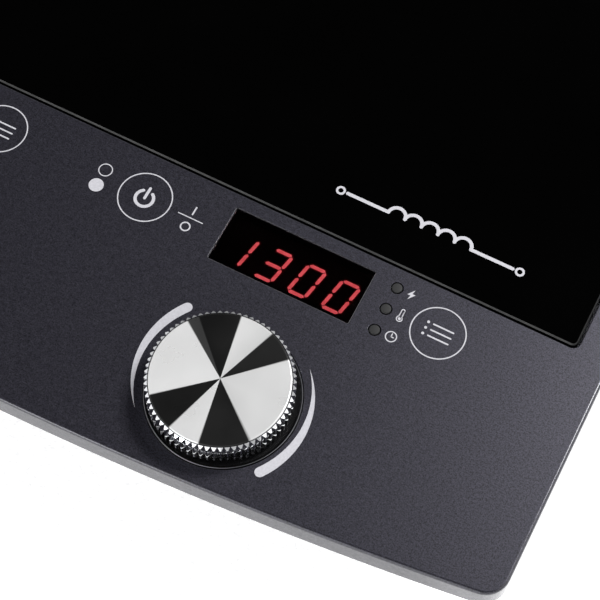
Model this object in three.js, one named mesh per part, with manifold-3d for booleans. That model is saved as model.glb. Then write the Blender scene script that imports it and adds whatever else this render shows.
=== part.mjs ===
// A portable double induction cooktop: two cooking zones, one behind the other, under one glass
// plate, with a control panel along the front edge that holds a set of controls for each zone.
//
// Frame: millimetres, +Z up, the front edge faces -Y. The origin is on the table under the middle
// of the body. Heights are measured from the table.
import * as THREE from "three";
import { mergeVertices } from "three/addons/utils/BufferGeometryUtils.js";
import Module from "manifold-3d";

const wasm = await Module();
wasm.setup();

// ---------------------------------------------------------------------------------------------
// Driving dimensions
// ---------------------------------------------------------------------------------------------

// Outer body
const WIDTH = 400;
const DEPTH = 590;
const PANEL_TOP = 58;
const FRONT_BOW_RADIUS = 1400;
const CORNER_RADIUS = 9;
const LIP_HEIGHT = 9;
const LIP_DRAFT = 0.3;
const TOP_EDGE_RADIUS = 1.2;
const LIP_WALL = 2.5;
const PANEL_THICKNESS = 3;

// Glass plate and the frame round it
const PANEL_DEPTH = 103.7; // front edge to the glass opening
const SIDE_BORDER = 12.4;
const REAR_BORDER = 10.2;
const GLASS_THICKNESS = 4;
const GLASS_PROUD = 0.3;
const GLASS_GAP = 0.8;
const GLASS_CORNER_RADIUS = 2;
const GLASS_CHAMFER = 0.6;
const SEAL_THICKNESS = 0.9;
const LEDGE_WIDTH = 8;
const LEDGE_THICKNESS = 1.8;
const LEDGE_WALL = 2.5;

// Base tray and feet
const FOOT_HEIGHT = 7;
const FOOT_RADIUS = 12;
const FOOT_STEM_RADIUS = 3.7;
const FOOT_INSET_X = 62;
const FOOT_INSET_Y = 58;
const BASE_WALL = 2.5;
const BASE_FLOOR = 2.5;
const BASE_CORNER_RADIUS = 14;
const BASE_INSET_TOP = 9;
const BASE_INSET_BOTTOM = 24;
const BASE_CHAMFER = 3;
const FLANGE_THICKNESS = 1.5;

// Cooking zones
const ZONE_PITCH = 236;
const COIL_RADIUS = 92;
const COIL_BORE_RADIUS = 20;
const COIL_THICKNESS = 5.5;
const FORMER_RIM = 4;
const FORMER_THICKNESS = 3;
const MICA_THICKNESS = 0.8;
const SENSOR_RADIUS = 8;
const COIL_TO_GLASS = 1.6;
const COIL_POST_RADIUS = 4;
const COIL_POST_MARGIN = 14; // coil edge to the ring of posts
const COIL_POST_ANGLES = [60, 130, 230, 300];

// Control sets: one for each zone, alike and side by side
const CONSOLE_PITCH = 167.8;
const CONSOLE_RIGHT_X = 90;
const DISPLAY_FROM_FRONT = 87.9;
const DISPLAY_WIDTH = 53;
const DISPLAY_DEPTH = 21.8;
const LENS_THICKNESS = 1.6;
const LENS_RECESS = 0.2;
const LENS_LEDGE = 1.9;
const LED_MODULE_MARGIN = 1.4; // window edge to the module behind it
const LED_MODULE_DEPTH_MARGIN = 1.5;
const LAMP_FROM_DISPLAY = 8.6;
const LAMP_PITCH = 8.66;
const LAMP_HOLE_RADIUS = 2.25;
const LAMP_PROUD = 0.3;
const POWER_KEY_FROM_DISPLAY = 29.6;
const MENU_KEY_FROM_DISPLAY = 27.7;
const KEY_PAD_RADIUS = 6;
const KNOB_OFFSET_X = 0.9;
const KNOB_OFFSET_Y = -52.3;
const DISH_OFFSET_X = 0.7; // the dish sits a little off the knob's axis
const DISH_OFFSET_Y = 0.35;
const DISH_PLAY = 0.9; // extra room round the bush for that

// Knobs
const KNOB_HEIGHT = 12.2;
const KNOB_RADIUS = 24.3;
const KNURL_DEPTH = 0.6;
const KNURL_TEETH = 70;
const KNOB_WALL = 1.4;
const CAP_RIM = 0.7; // knob rim round the cap
const CAP_THICKNESS = 1.4;
const CAP_PROUD = 0.4;
const WELL_MARGIN = 1.9; // knob side to the wall of its well
const WELL_DEPTH = 1.6;
const BEZEL_RIM = 0.7;
const BEZEL_FLOOR = 0.8;
const SHAFT_RADIUS = 3;
const SHAFT_FLAT = 1.5;
const BUSH_RADIUS = 4.5;
const ENCODER_SIZE = 13;

// Electronics
const BOARD_THICKNESS = 1.6;
const CONTROL_BOARD_DROP = 10.4; // panel top to the top face of the control board
const CONTROL_BOARD_WIDTH = 318;
const CONTROL_BOARD_DEPTH = 66;
const POWER_BOARD_WIDTH = 190;
const POWER_BOARD_FROM_POST = 8.5;
const POWER_BOARD_FROM_WALL = 15.4;
const POWER_BOARD_STANDOFF = 6;
const HEATSINK_WIDTH = 70;
const HEATSINK_LENGTH = 60;
const HEATSINK_HEIGHT = 14;
const HEATSINK_FINS = 9;

// Fans
const FAN_SIZE = 80;
const FAN_THICKNESS = 20;
const FAN_WALL = 3;
const FAN_FROM_WALL = 7.4;
const FAN_HUB_RADIUS = 15;
const FAN_BLADES = 7;
const FAN_STANDOFF = 2.2;
const FAN_TIP_CLEARANCE = 1.5;

// Mains inlet at the rear
const GLAND_X = -88;
const GLAND_HEIGHT = 26;
const GLAND_RADIUS = 7;
const GLAND_FLANGE_RADIUS = 9;
const CORD_HOLE_RADIUS = 4;

// Housing screws
const SCREW_INSET_X = 39;
const SCREW_SHANK_RADIUS = 1.8;
const SCREW_HEAD_RADIUS = 3.7;
const SCREW_HEAD_HEIGHT = 3;
const SCREW_LENGTH = 20;
const BOSS_RADIUS = 4.5;

// Clearances
const FIT = 0.3; // between parts that rest on each other or pass through each other
const RUN = 0.6; // round the parts that turn

// ---------------------------------------------------------------------------------------------
// Heights and places that follow from the driving dimensions
// ---------------------------------------------------------------------------------------------
const LIP_BOTTOM = PANEL_TOP - LIP_HEIGHT;
const PANEL_UNDERSIDE = PANEL_TOP - PANEL_THICKNESS;
const GLASS_TOP = PANEL_TOP + GLASS_PROUD;
const GLASS_BOTTOM = GLASS_TOP - GLASS_THICKNESS;
const LEDGE_TOP = GLASS_BOTTOM - SEAL_THICKNESS - 2 * FIT;
const LEDGE_BOTTOM = LEDGE_TOP - LEDGE_THICKNESS;
const FLANGE_TOP = LEDGE_BOTTOM - FIT;
const FLANGE_BOTTOM = FLANGE_TOP - FLANGE_THICKNESS;
const FLOOR_TOP = FOOT_HEIGHT + BASE_FLOOR;

const FRONT_Y = -DEPTH / 2;
const REAR_Y = DEPTH / 2;
const OPENING_HALF_WIDTH = WIDTH / 2 - SIDE_BORDER;
const OPENING_FRONT = FRONT_Y + PANEL_DEPTH;
const OPENING_REAR = REAR_Y - REAR_BORDER;
const GLASS_MIDDLE_Y = (OPENING_FRONT + OPENING_REAR) / 2;
const ZONES = [
  { name: "front", y: GLASS_MIDDLE_Y - ZONE_PITCH / 2 },
  { name: "rear", y: GLASS_MIDDLE_Y + ZONE_PITCH / 2 },
];
const CONSOLES = [
  { name: "left", x: CONSOLE_RIGHT_X - CONSOLE_PITCH },
  { name: "right", x: CONSOLE_RIGHT_X },
];
const CONSOLE_Y = FRONT_Y + DISPLAY_FROM_FRONT;
const CONSOLE_MIDDLE_X = (CONSOLES[0].x + CONSOLES[1].x) / 2;
const LAMPS = [
  { name: "power", y: LAMP_PITCH },
  { name: "temperature", y: 0 },
  { name: "timer", y: -LAMP_PITCH },
];
const KEYS = [
  { name: "power", x: -DISPLAY_WIDTH / 2 - POWER_KEY_FROM_DISPLAY },
  { name: "menu", x: DISPLAY_WIDTH / 2 + MENU_KEY_FROM_DISPLAY },
];

const LAMP_OFFSET_X = DISPLAY_WIDTH / 2 + LAMP_FROM_DISPLAY;
const CONTROL_BOARD_TOP = PANEL_TOP - CONTROL_BOARD_DROP;
const CONTROL_BOARD_REAR = OPENING_FRONT - LEDGE_WALL - 5;
const COIL_TOP = GLASS_BOTTOM - COIL_TO_GLASS - MICA_THICKNESS - FIT;
const FORMER_TOP = COIL_TOP - COIL_THICKNESS - FIT;
const FORMER_BOTTOM = FORMER_TOP - FORMER_THICKNESS;
const FORMER_RADIUS = COIL_RADIUS + FORMER_RIM;
const COIL_POST_CIRCLE = COIL_RADIUS - COIL_POST_MARGIN;
const POWER_BOARD_BOTTOM = FLOOR_TOP + POWER_BOARD_STANDOFF;
const POWER_BOARD_TOP = POWER_BOARD_BOTTOM + BOARD_THICKNESS;
const FAN_BOTTOM = FLOOR_TOP + FAN_STANDOFF;
const FAN_BORE_RADIUS = FAN_SIZE / 2 - FAN_WALL;
const TRAY_HALF_WIDTH = WIDTH / 2 - baseInset(FLOOR_TOP) - BASE_WALL;
const FAN_X = -(TRAY_HALF_WIDTH - FAN_FROM_WALL - FAN_SIZE / 2);
const POWER_BOARD_X = TRAY_HALF_WIDTH - POWER_BOARD_FROM_WALL - POWER_BOARD_WIDTH / 2;
const POST_REACH_Y = COIL_POST_CIRCLE * Math.sin(THREE.MathUtils.degToRad(COIL_POST_ANGLES[0]));
const POWER_BOARD_DEPTH = 2 * (POST_REACH_Y - COIL_POST_RADIUS - POWER_BOARD_FROM_POST);
const KNOB_TOP = PANEL_TOP + KNOB_HEIGHT;
const CAP_RADIUS = KNOB_RADIUS - KNURL_DEPTH - CAP_RIM;
const WELL_RADIUS = KNOB_RADIUS + WELL_MARGIN;
const WELL_FLOOR = PANEL_TOP - WELL_DEPTH;
const SCREW_PLACES = [];
for (const x of [-WIDTH / 2 + SCREW_INSET_X, WIDTH / 2 - SCREW_INSET_X]) {
  for (const y of [OPENING_FRONT + LEDGE_WIDTH + 8, OPENING_REAR - LEDGE_WIDTH - 12]) {
    SCREW_PLACES.push({ x, y });
  }
}
const FOOT_PLACES = [
  { name: "front_left", x: -WIDTH / 2 + FOOT_INSET_X, y: FRONT_Y + FOOT_INSET_Y },
  { name: "front_right", x: WIDTH / 2 - FOOT_INSET_X, y: FRONT_Y + FOOT_INSET_Y },
  { name: "rear_left", x: -WIDTH / 2 + FOOT_INSET_X, y: REAR_Y - FOOT_INSET_Y },
  { name: "rear_right", x: WIDTH / 2 - FOOT_INSET_X, y: REAR_Y - FOOT_INSET_Y },
];

// ---------------------------------------------------------------------------------------------
// Outlines and solids
// ---------------------------------------------------------------------------------------------

// Points along an arc about (x, y), angles in degrees.
function arc(x, y, radius, from, to, steps) {
  const points = [];
  for (let i = 0; i <= steps; i++) {
    const angle = THREE.MathUtils.degToRad(from + ((to - from) * i) / steps);
    points.push(new THREE.Vector2(x + radius * Math.cos(angle), y + radius * Math.sin(angle)));
  }
  return points;
}

// The body's plan, pulled in by an inset: straight sides and back, a bowed front, round corners.
function bodyOutline(inset, cornerRadius) {
  const halfWidth = WIDTH / 2 - inset;
  const radius = Math.max(cornerRadius, 0.8);
  const bow = FRONT_BOW_RADIUS - inset;
  const bowCentreY = FRONT_Y + FRONT_BOW_RADIUS;
  const cornerX = halfWidth - radius;
  const cornerY = bowCentreY - Math.sqrt((bow - radius) ** 2 - cornerX ** 2);
  const rearY = REAR_Y - inset - radius;
  const swing = THREE.MathUtils.radToDeg(Math.asin(cornerX / (bow - radius)));
  return [
    ...arc(0, bowCentreY, bow, -90 - swing, -90 + swing, 10),
    ...arc(cornerX, cornerY, radius, -90 + swing, 0, 3).slice(1),
    ...arc(cornerX, rearY, radius, 0, 90, 3),
    ...arc(-cornerX, rearY, radius, 90, 180, 3),
    ...arc(-cornerX, cornerY, radius, 180, 270 - swing, 3).slice(0, -1),
  ];
}

// A rectangle with round corners.
function roundedRectangle(halfWidth, front, rear, radius) {
  const x = halfWidth - radius;
  return [
    ...arc(x, front + radius, radius, -90, 0, 3),
    ...arc(x, rear - radius, radius, 0, 90, 3),
    ...arc(-x, rear - radius, radius, 90, 180, 3),
    ...arc(-x, front + radius, radius, 180, 270, 3),
  ];
}

// The closed solid through outlines with equally many points, listed from the bottom up.
function stack(levels) {
  const count = levels[0].outline.length;
  const positions = levels.flatMap(({ outline, z }) => outline.flatMap((p) => [p.x, p.y, z]));
  const index = [];
  for (let level = 0; level + 1 < levels.length; level++) {
    for (let i = 0; i < count; i++) {
      const a = level * count + i;
      const b = level * count + ((i + 1) % count);
      index.push(a, b, b + count, a, b + count, a + count);
    }
  }
  const lid = (levels.length - 1) * count;
  for (const [a, b, c] of THREE.ShapeUtils.triangulateShape(levels[0].outline, [])) {
    index.push(a, c, b);
  }
  for (const [a, b, c] of THREE.ShapeUtils.triangulateShape(levels.at(-1).outline, [])) {
    index.push(lid + a, lid + b, lid + c);
  }
  const geometry = new THREE.BufferGeometry();
  geometry.setAttribute("position", new THREE.Float32BufferAttribute(positions, 3));
  geometry.setIndex(index);
  return geometry;
}

// An outline extruded straight up.
function slab(outline, bottom, top) {
  return stack([
    { outline, z: bottom },
    { outline, z: top },
  ]);
}

// A box centred on (x, y), standing between two heights.
function box(x, y, width, depth, bottom, top) {
  const geometry = new THREE.BoxGeometry(width, depth, top - bottom);
  return geometry.translate(x, y, (bottom + top) / 2);
}

// An upright cylinder about (x, y).
function rod(x, y, radius, bottom, top, sides = 16) {
  const geometry = new THREE.CylinderGeometry(radius, radius, top - bottom, sides);
  return geometry.rotateX(Math.PI / 2).translate(x, y, (bottom + top) / 2);
}

// A profile of [radius, height] points, closed on itself or on the axis, turned about Z.
function turned(profile, sides) {
  const points = profile.map(([radius, height]) => new THREE.Vector2(radius, height));
  return new THREE.LatheGeometry(points, sides).rotateX(Math.PI / 2);
}

// A closed ring profile turned about Z.
function ring(profile, sides) {
  return turned([...profile, profile[0]], sides);
}

function toSolid(geometry) {
  const bare = new THREE.BufferGeometry();
  bare.setAttribute("position", geometry.getAttribute("position"));
  bare.setIndex(geometry.index);
  const merged = mergeVertices(bare, 1e-4);
  const vertProperties = merged.getAttribute("position").array;
  const triVerts = new Uint32Array(merged.index.array);
  return new wasm.Manifold(new wasm.Mesh({ numProp: 3, vertProperties, triVerts }));
}

function toGeometry(solid) {
  const mesh = solid.getMesh();
  const geometry = new THREE.BufferGeometry();
  geometry.setAttribute("position", new THREE.BufferAttribute(mesh.vertProperties, 3));
  geometry.setIndex(new THREE.BufferAttribute(mesh.triVerts, 1));
  return geometry;
}

// Joins the added pieces to a first one, then takes the removed pieces away.
function shape(first, added, removed = []) {
  let solid = toSolid(first);
  for (const piece of added) {
    solid = solid.add(toSolid(piece));
  }
  for (const piece of removed) {
    solid = solid.subtract(toSolid(piece));
  }
  return toGeometry(solid);
}

// ---------------------------------------------------------------------------------------------
// Materials
// ---------------------------------------------------------------------------------------------
function finish(color, roughness, metalness) {
  return new THREE.MeshStandardMaterial({ color, roughness, metalness });
}

const PAINT = finish(0x3c3a46, 0.5, 0.5);
const BLACK_GLASS = finish(0x050506, 0.05, 0.0);
const BLACK_PLASTIC = finish(0x17171a, 0.5, 0.0);
const BLACK_RUBBER = finish(0x121213, 0.9, 0.0);
const SMOKED_LENS = finish(0x0a0304, 0.1, 0.0);
const GREY_PLASTIC = finish(0x8a8a8c, 0.5, 0.0);
const TURNED_METAL = finish(0xd8d8d8, 0.25, 1.0);
const BRIGHT_CHROME = finish(0xe4e4e6, 0.1, 1.0);
const STEEL = finish(0xa8a8ac, 0.35, 1.0);
const ALUMINIUM = finish(0xb8babd, 0.4, 1.0);
const COPPER = finish(0xb06a3c, 0.4, 1.0);
const MICA = finish(0xb9ad93, 0.7, 0.0);
const BOARD_GREEN = finish(0x1f5a35, 0.6, 0.0);
const FILM_YELLOW = finish(0xc9a227, 0.5, 0.0);
const CERAMIC_WHITE = finish(0xe6e2d8, 0.6, 0.0);
const FOAM_GREY = finish(0x4a4a4c, 0.9, 0.0);

const group = new THREE.Group();

// Names a piece and hangs it in a group.
function addPart(parent, name, geometry, material) {
  const mesh = new THREE.Mesh(geometry, material);
  mesh.name = name;
  parent.add(mesh);
}

// ---------------------------------------------------------------------------------------------
// Top housing: control panel, border, lip and the ledge that carries the glass
// ---------------------------------------------------------------------------------------------
function openingOutline(inset) {
  const radius = Math.max(GLASS_CORNER_RADIUS + GLASS_GAP - inset, 0.5);
  return roundedRectangle(
    OPENING_HALF_WIDTH - inset,
    OPENING_FRONT + inset,
    OPENING_REAR - inset,
    radius,
  );
}

function panelShell() {
  const levels = [{ outline: bodyOutline(0, CORNER_RADIUS), z: LIP_BOTTOM }];
  const steps = 2;
  for (let i = 0; i <= steps; i++) {
    const angle = (Math.PI / 2) * (i / steps);
    const inset = LIP_DRAFT + TOP_EDGE_RADIUS * (1 - Math.cos(angle));
    const z = PANEL_TOP - TOP_EDGE_RADIUS * (1 - Math.sin(angle));
    levels.push({ outline: bodyOutline(inset, CORNER_RADIUS - inset), z });
  }
  return stack(levels);
}

function panelCavity() {
  const inset = LIP_WALL + LIP_DRAFT;
  return stack([
    { outline: bodyOutline(LIP_WALL, CORNER_RADIUS - LIP_WALL), z: LIP_BOTTOM - 1 },
    { outline: bodyOutline(inset, CORNER_RADIUS - inset), z: PANEL_UNDERSIDE },
  ]);
}

// The cuts that one control set needs in the panel.
function consoleCuts(x) {
  const knobX = x + KNOB_OFFSET_X;
  const knobY = CONSOLE_Y + KNOB_OFFSET_Y;
  const lensFloor = PANEL_TOP - LENS_RECESS - LENS_THICKNESS - FIT;
  const sightWidth = DISPLAY_WIDTH - 2 * LENS_LEDGE;
  const sightDepth = DISPLAY_DEPTH - 2 * LENS_LEDGE;
  const cuts = [
    box(x, CONSOLE_Y, DISPLAY_WIDTH, DISPLAY_DEPTH, lensFloor, PANEL_TOP + 1),
    box(x, CONSOLE_Y, sightWidth, sightDepth, PANEL_UNDERSIDE - 1, PANEL_TOP),
    rod(knobX + DISH_OFFSET_X, knobY + DISH_OFFSET_Y, WELL_RADIUS, WELL_FLOOR, PANEL_TOP + 1, 40),
    rod(knobX, knobY, BUSH_RADIUS + FIT, PANEL_UNDERSIDE - 1, PANEL_TOP),
  ];
  for (const lamp of LAMPS) {
    const y = CONSOLE_Y + lamp.y;
    cuts.push(rod(x + LAMP_OFFSET_X, y, LAMP_HOLE_RADIUS, PANEL_UNDERSIDE - 1, PANEL_TOP + 1, 12));
  }
  return cuts;
}

function topHousing() {
  const ledgeOuter = openingOutline(-LEDGE_WALL);
  const added = [slab(ledgeOuter, LEDGE_BOTTOM, PANEL_UNDERSIDE + 1)];
  const removed = [
    slab(openingOutline(0), LEDGE_TOP, PANEL_TOP + 1),
    slab(openingOutline(LEDGE_WIDTH), LEDGE_BOTTOM - 1, PANEL_TOP),
    ...CONSOLES.flatMap((set) => consoleCuts(set.x)),
  ];
  const frame = toSolid(shape(panelShell(), [], [panelCavity()]));
  const body = shape(toGeometry(frame), added, removed);
  const bosses = [];
  const bores = [];
  for (const { x, y } of SCREW_PLACES) {
    const side = Math.sign(x);
    const tabWidth = OPENING_HALF_WIDTH - Math.abs(x) + BOSS_RADIUS;
    const tabX = x + side * (tabWidth / 2 - BOSS_RADIUS);
    const bottom = bossBottom();
    bosses.push(box(tabX, y, tabWidth, 2 * BOSS_RADIUS + 4, LEDGE_BOTTOM, LEDGE_TOP));
    bosses.push(rod(x, y, BOSS_RADIUS, bottom, LEDGE_TOP, 12));
    bores.push(rod(x, y, SCREW_SHANK_RADIUS + FIT, bottom - 1, bottom + SCREW_LENGTH, 10));
  }
  for (const { x, y } of controlBoardPosts()) {
    bosses.push(rod(x, y, 3.5, CONTROL_BOARD_TOP + FIT, PANEL_UNDERSIDE + 1, 10));
  }
  return shape(body, bosses, bores);
}

// Where the control board hangs under the panel.
function controlBoardPosts() {
  const places = [];
  for (const side of [-1, 0, 1]) {
    const x = CONSOLE_MIDDLE_X + side * (CONTROL_BOARD_WIDTH / 2 - 8);
    places.push({ x, y: CONTROL_BOARD_REAR - 42 });
  }
  return places;
}

// ---------------------------------------------------------------------------------------------
// Glass plate and seal
// ---------------------------------------------------------------------------------------------
function glassPlate() {
  return stack([
    { outline: openingOutline(GLASS_GAP), z: GLASS_BOTTOM },
    { outline: openingOutline(GLASS_GAP), z: GLASS_TOP - GLASS_CHAMFER },
    { outline: openingOutline(GLASS_GAP + GLASS_CHAMFER), z: GLASS_TOP },
  ]);
}

function glassSeal() {
  const bottom = LEDGE_TOP + FIT;
  const top = bottom + SEAL_THICKNESS;
  const inner = slab(openingOutline(LEDGE_WIDTH - 1), bottom - 1, top + 1);
  return shape(slab(openingOutline(GLASS_GAP), bottom, top), [], [inner]);
}

// ---------------------------------------------------------------------------------------------
// Base tray
// ---------------------------------------------------------------------------------------------

// How far the tray's outer face is inside the body's plan at a height.
function baseInset(z) {
  const low = FOOT_HEIGHT + BASE_CHAMFER;
  const share = (z - low) / (FLANGE_BOTTOM - low);
  return BASE_INSET_BOTTOM + (BASE_INSET_TOP - BASE_INSET_BOTTOM) * share;
}

function baseLevel(z, extra) {
  return { outline: bodyOutline(baseInset(z) + extra, BASE_CORNER_RADIUS - extra), z };
}

function bossBottom() {
  return FLOOR_TOP + SCREW_HEAD_HEIGHT + 3 + FIT;
}

// Slots side by side that fill a circle, cut through the floor under a fan.
function intakeSlots(x, y) {
  const slots = [];
  const pitch = 10;
  for (let i = -3; i <= 3; i++) {
    const offset = i * pitch;
    const length = 2 * Math.sqrt((FAN_BORE_RADIUS - 1) ** 2 - offset ** 2);
    slots.push(box(x, y + offset, length, 4, FOOT_HEIGHT - 1, FLOOR_TOP + 1));
  }
  return slots;
}

// A row of upright slots through the rear wall, for the warm air.
function exhaustSlots() {
  const slots = [];
  const wallY = REAR_Y - baseInset(GLAND_HEIGHT) - BASE_WALL / 2;
  for (let i = 0; i < 12; i++) {
    slots.push(box(-60 + i * 16, wallY, 7, 20, GLAND_HEIGHT - 8, GLAND_HEIGHT + 10));
  }
  return slots;
}

// Where the coil former rests, round the middle of a zone.
function coilPosts(zone) {
  return COIL_POST_ANGLES.map((degrees) => {
    const angle = THREE.MathUtils.degToRad(degrees);
    const x = COIL_POST_CIRCLE * Math.cos(angle);
    return { x, y: zone.y + COIL_POST_CIRCLE * Math.sin(angle) };
  });
}

// Where a power board rests.
function boardStandoffs(zone) {
  const places = [];
  for (const sideX of [-1, 1]) {
    for (const sideY of [-1, 1]) {
      const x = POWER_BOARD_X + sideX * (POWER_BOARD_WIDTH / 2 - 6);
      places.push({ x, y: zone.y + sideY * (POWER_BOARD_DEPTH / 2 - 6) });
    }
  }
  return places;
}

// Where a fan rests on the floor.
function fanPads(zone) {
  const places = [];
  for (const sideX of [-1, 1]) {
    for (const sideY of [-1, 1]) {
      const reach = FAN_SIZE / 2 - 4.5;
      places.push({ x: FAN_X + sideX * reach, y: zone.y + sideY * reach });
    }
  }
  return places;
}

function bottomHousing() {
  const flange = bodyOutline(LIP_WALL + LIP_DRAFT + FIT, CORNER_RADIUS - LIP_WALL - LIP_DRAFT);
  const outer = stack([
    { outline: bodyOutline(BASE_INSET_BOTTOM + BASE_CHAMFER, BASE_CORNER_RADIUS), z: FOOT_HEIGHT },
    baseLevel(FOOT_HEIGHT + BASE_CHAMFER, 0),
    baseLevel(FLANGE_TOP, 0),
  ]);
  const inner = stack([baseLevel(FLOOR_TOP, BASE_WALL), baseLevel(FLANGE_TOP + 1, BASE_WALL)]);
  const tray = shape(outer, [slab(flange, FLANGE_BOTTOM, FLANGE_TOP)], [inner]);
  const added = [];
  const removed = [...exhaustSlots()];
  for (const zone of ZONES) {
    for (const { x, y } of coilPosts(zone)) {
      added.push(rod(x, y, COIL_POST_RADIUS, FLOOR_TOP - 1, FORMER_BOTTOM - FIT, 10));
    }
    for (const { x, y } of boardStandoffs(zone)) {
      added.push(rod(x, y, 3.5, FLOOR_TOP - 1, POWER_BOARD_BOTTOM - FIT, 8));
    }
    for (const { x, y } of fanPads(zone)) {
      added.push(rod(x, y, 3.5, FLOOR_TOP - 1, FAN_BOTTOM - FIT, 8));
    }
    removed.push(...intakeSlots(FAN_X, zone.y));
  }
  for (const { x, y } of SCREW_PLACES) {
    const seat = FLOOR_TOP + SCREW_HEAD_HEIGHT;
    added.push(rod(x, y, BOSS_RADIUS + 2, FLOOR_TOP - 1, bossBottom() - FIT, 12));
    removed.push(rod(x, y, SCREW_HEAD_RADIUS + FIT, FOOT_HEIGHT - 1, seat, 12));
    removed.push(rod(x, y, SCREW_SHANK_RADIUS + FIT, FOOT_HEIGHT - 1, bossBottom() + 1, 10));
  }
  for (const { x, y } of FOOT_PLACES) {
    removed.push(rod(x, y, FOOT_STEM_RADIUS + FIT, FOOT_HEIGHT - 1, FLOOR_TOP + 1, 12));
  }
  const glandHole = new THREE.CylinderGeometry(GLAND_RADIUS + FIT, GLAND_RADIUS + FIT, 40, 16);
  removed.push(glandHole.translate(GLAND_X, REAR_Y - baseInset(GLAND_HEIGHT), GLAND_HEIGHT));
  return shape(tray, added, removed);
}

function foot() {
  const top = FOOT_HEIGHT - FIT;
  return turned(
    [
      [0, 0],
      [FOOT_RADIUS - 1.2, 0],
      [FOOT_RADIUS, 1.2],
      [FOOT_RADIUS - 0.8, top],
      [FOOT_STEM_RADIUS, top],
      [FOOT_STEM_RADIUS, FLOOR_TOP + 3],
      [0, FLOOR_TOP + 3],
    ],
    18,
  );
}

// A pan-head screw that stands head down, its seat at height zero.
function housingScrew() {
  return turned(
    [
      [0, -SCREW_HEAD_HEIGHT],
      [SCREW_HEAD_RADIUS, -SCREW_HEAD_HEIGHT],
      [SCREW_HEAD_RADIUS, 0],
      [SCREW_SHANK_RADIUS, 0],
      [SCREW_SHANK_RADIUS, SCREW_LENGTH - 2],
      [0, SCREW_LENGTH],
    ],
    10,
  );
}

// ---------------------------------------------------------------------------------------------
// Cooking zone: former, coil, mica sheet and temperature sensor, about the zone's middle
// ---------------------------------------------------------------------------------------------
function coilFormer() {
  const rimTop = FORMER_TOP + COIL_THICKNESS;
  return ring(
    [
      [SENSOR_RADIUS + RUN, FORMER_BOTTOM],
      [FORMER_RADIUS, FORMER_BOTTOM],
      [FORMER_RADIUS, rimTop],
      [COIL_RADIUS + FIT + 1, rimTop],
      [COIL_RADIUS + FIT + 1, FORMER_TOP],
      [SENSOR_RADIUS + RUN, FORMER_TOP],
    ],
    30,
  );
}

function coilWinding() {
  const bottom = FORMER_TOP + FIT;
  return ring(
    [
      [COIL_BORE_RADIUS, bottom],
      [COIL_RADIUS, bottom],
      [COIL_RADIUS, COIL_TOP],
      [COIL_BORE_RADIUS, COIL_TOP],
    ],
    30,
  );
}

function micaSheet() {
  const bottom = COIL_TOP + FIT;
  const top = bottom + MICA_THICKNESS;
  return ring(
    [
      [SENSOR_RADIUS + 1, bottom],
      [FORMER_RADIUS, bottom],
      [FORMER_RADIUS, top],
      [SENSOR_RADIUS + 1, top],
    ],
    30,
  );
}

// The sensor stands in the middle of the coil and touches the glass; a lip hangs under the former.
function temperatureSensor() {
  const lipTop = FORMER_BOTTOM - FIT;
  return turned(
    [
      [0, lipTop - 2],
      [SENSOR_RADIUS + 3, lipTop - 2],
      [SENSOR_RADIUS + 3, lipTop],
      [SENSOR_RADIUS, lipTop],
      [SENSOR_RADIUS, GLASS_BOTTOM - FIT],
      [0, GLASS_BOTTOM - FIT],
    ],
    16,
  );
}

// ---------------------------------------------------------------------------------------------
// Power stage: board, heatsink, film capacitor and line choke, about the board's middle
// ---------------------------------------------------------------------------------------------
const PART_SEAT = POWER_BOARD_TOP + FIT;

function powerBoard() {
  return box(0, 0, POWER_BOARD_WIDTH, POWER_BOARD_DEPTH, POWER_BOARD_BOTTOM, POWER_BOARD_TOP);
}

// A comb of fins on a thick base, extruded along Y.
function heatsink() {
  const base = 4;
  const finWidth = 2;
  const pitch = (HEATSINK_WIDTH - finWidth) / (HEATSINK_FINS - 1);
  const comb = new THREE.Shape();
  comb.moveTo(-HEATSINK_WIDTH / 2, 0);
  comb.lineTo(HEATSINK_WIDTH / 2, 0);
  for (let i = HEATSINK_FINS - 1; i >= 0; i--) {
    const left = -HEATSINK_WIDTH / 2 + i * pitch;
    const right = left + finWidth;
    if (i < HEATSINK_FINS - 1) comb.lineTo(right, base);
    comb.lineTo(right, HEATSINK_HEIGHT);
    comb.lineTo(left, HEATSINK_HEIGHT);
    if (i > 0) comb.lineTo(left, base);
  }
  comb.closePath();
  const geometry = new THREE.ExtrudeGeometry(comb, { depth: HEATSINK_LENGTH, bevelEnabled: false });
  geometry.rotateX(Math.PI / 2);
  return geometry.translate(30, HEATSINK_LENGTH / 2, PART_SEAT);
}

function filmCapacitor() {
  return slab(roundedRectangle(16, -10, 10, 2), PART_SEAT, PART_SEAT + 20)
    .translate(-28, 28, 0);
}

function lineChoke() {
  return ring(
    [
      [5, PART_SEAT],
      [13, PART_SEAT],
      [14, PART_SEAT + 2],
      [14, PART_SEAT + 10],
      [13, PART_SEAT + 12],
      [5, PART_SEAT + 12],
    ],
    16,
  ).translate(-28, -26, 0);
}

// ---------------------------------------------------------------------------------------------
// Fan, about its own axis
// ---------------------------------------------------------------------------------------------
function fanFrame() {
  const top = FAN_BOTTOM + FAN_THICKNESS;
  const half = FAN_SIZE / 2;
  const strut = 2.5;
  const hubTop = FAN_BOTTOM + strut;
  const bore = rod(0, 0, FAN_BORE_RADIUS, FAN_BOTTOM - 1, top + 1, 30);
  const square = slab(roundedRectangle(half, -half, half, 4), FAN_BOTTOM, top);
  const spider = [rod(0, 0, FAN_HUB_RADIUS - 1, FAN_BOTTOM, hubTop, 16)];
  for (let i = 0; i < 3; i++) {
    const arm = box(FAN_BORE_RADIUS / 2, 0, FAN_BORE_RADIUS + 2, 4, FAN_BOTTOM, hubTop);
    spider.push(arm.rotateZ((i * 2 * Math.PI) / 3));
  }
  spider.push(rod(0, 0, 1.5, FAN_BOTTOM, top - 6, 10));
  return shape(shape(square, [], [bore]), spider);
}

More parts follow.
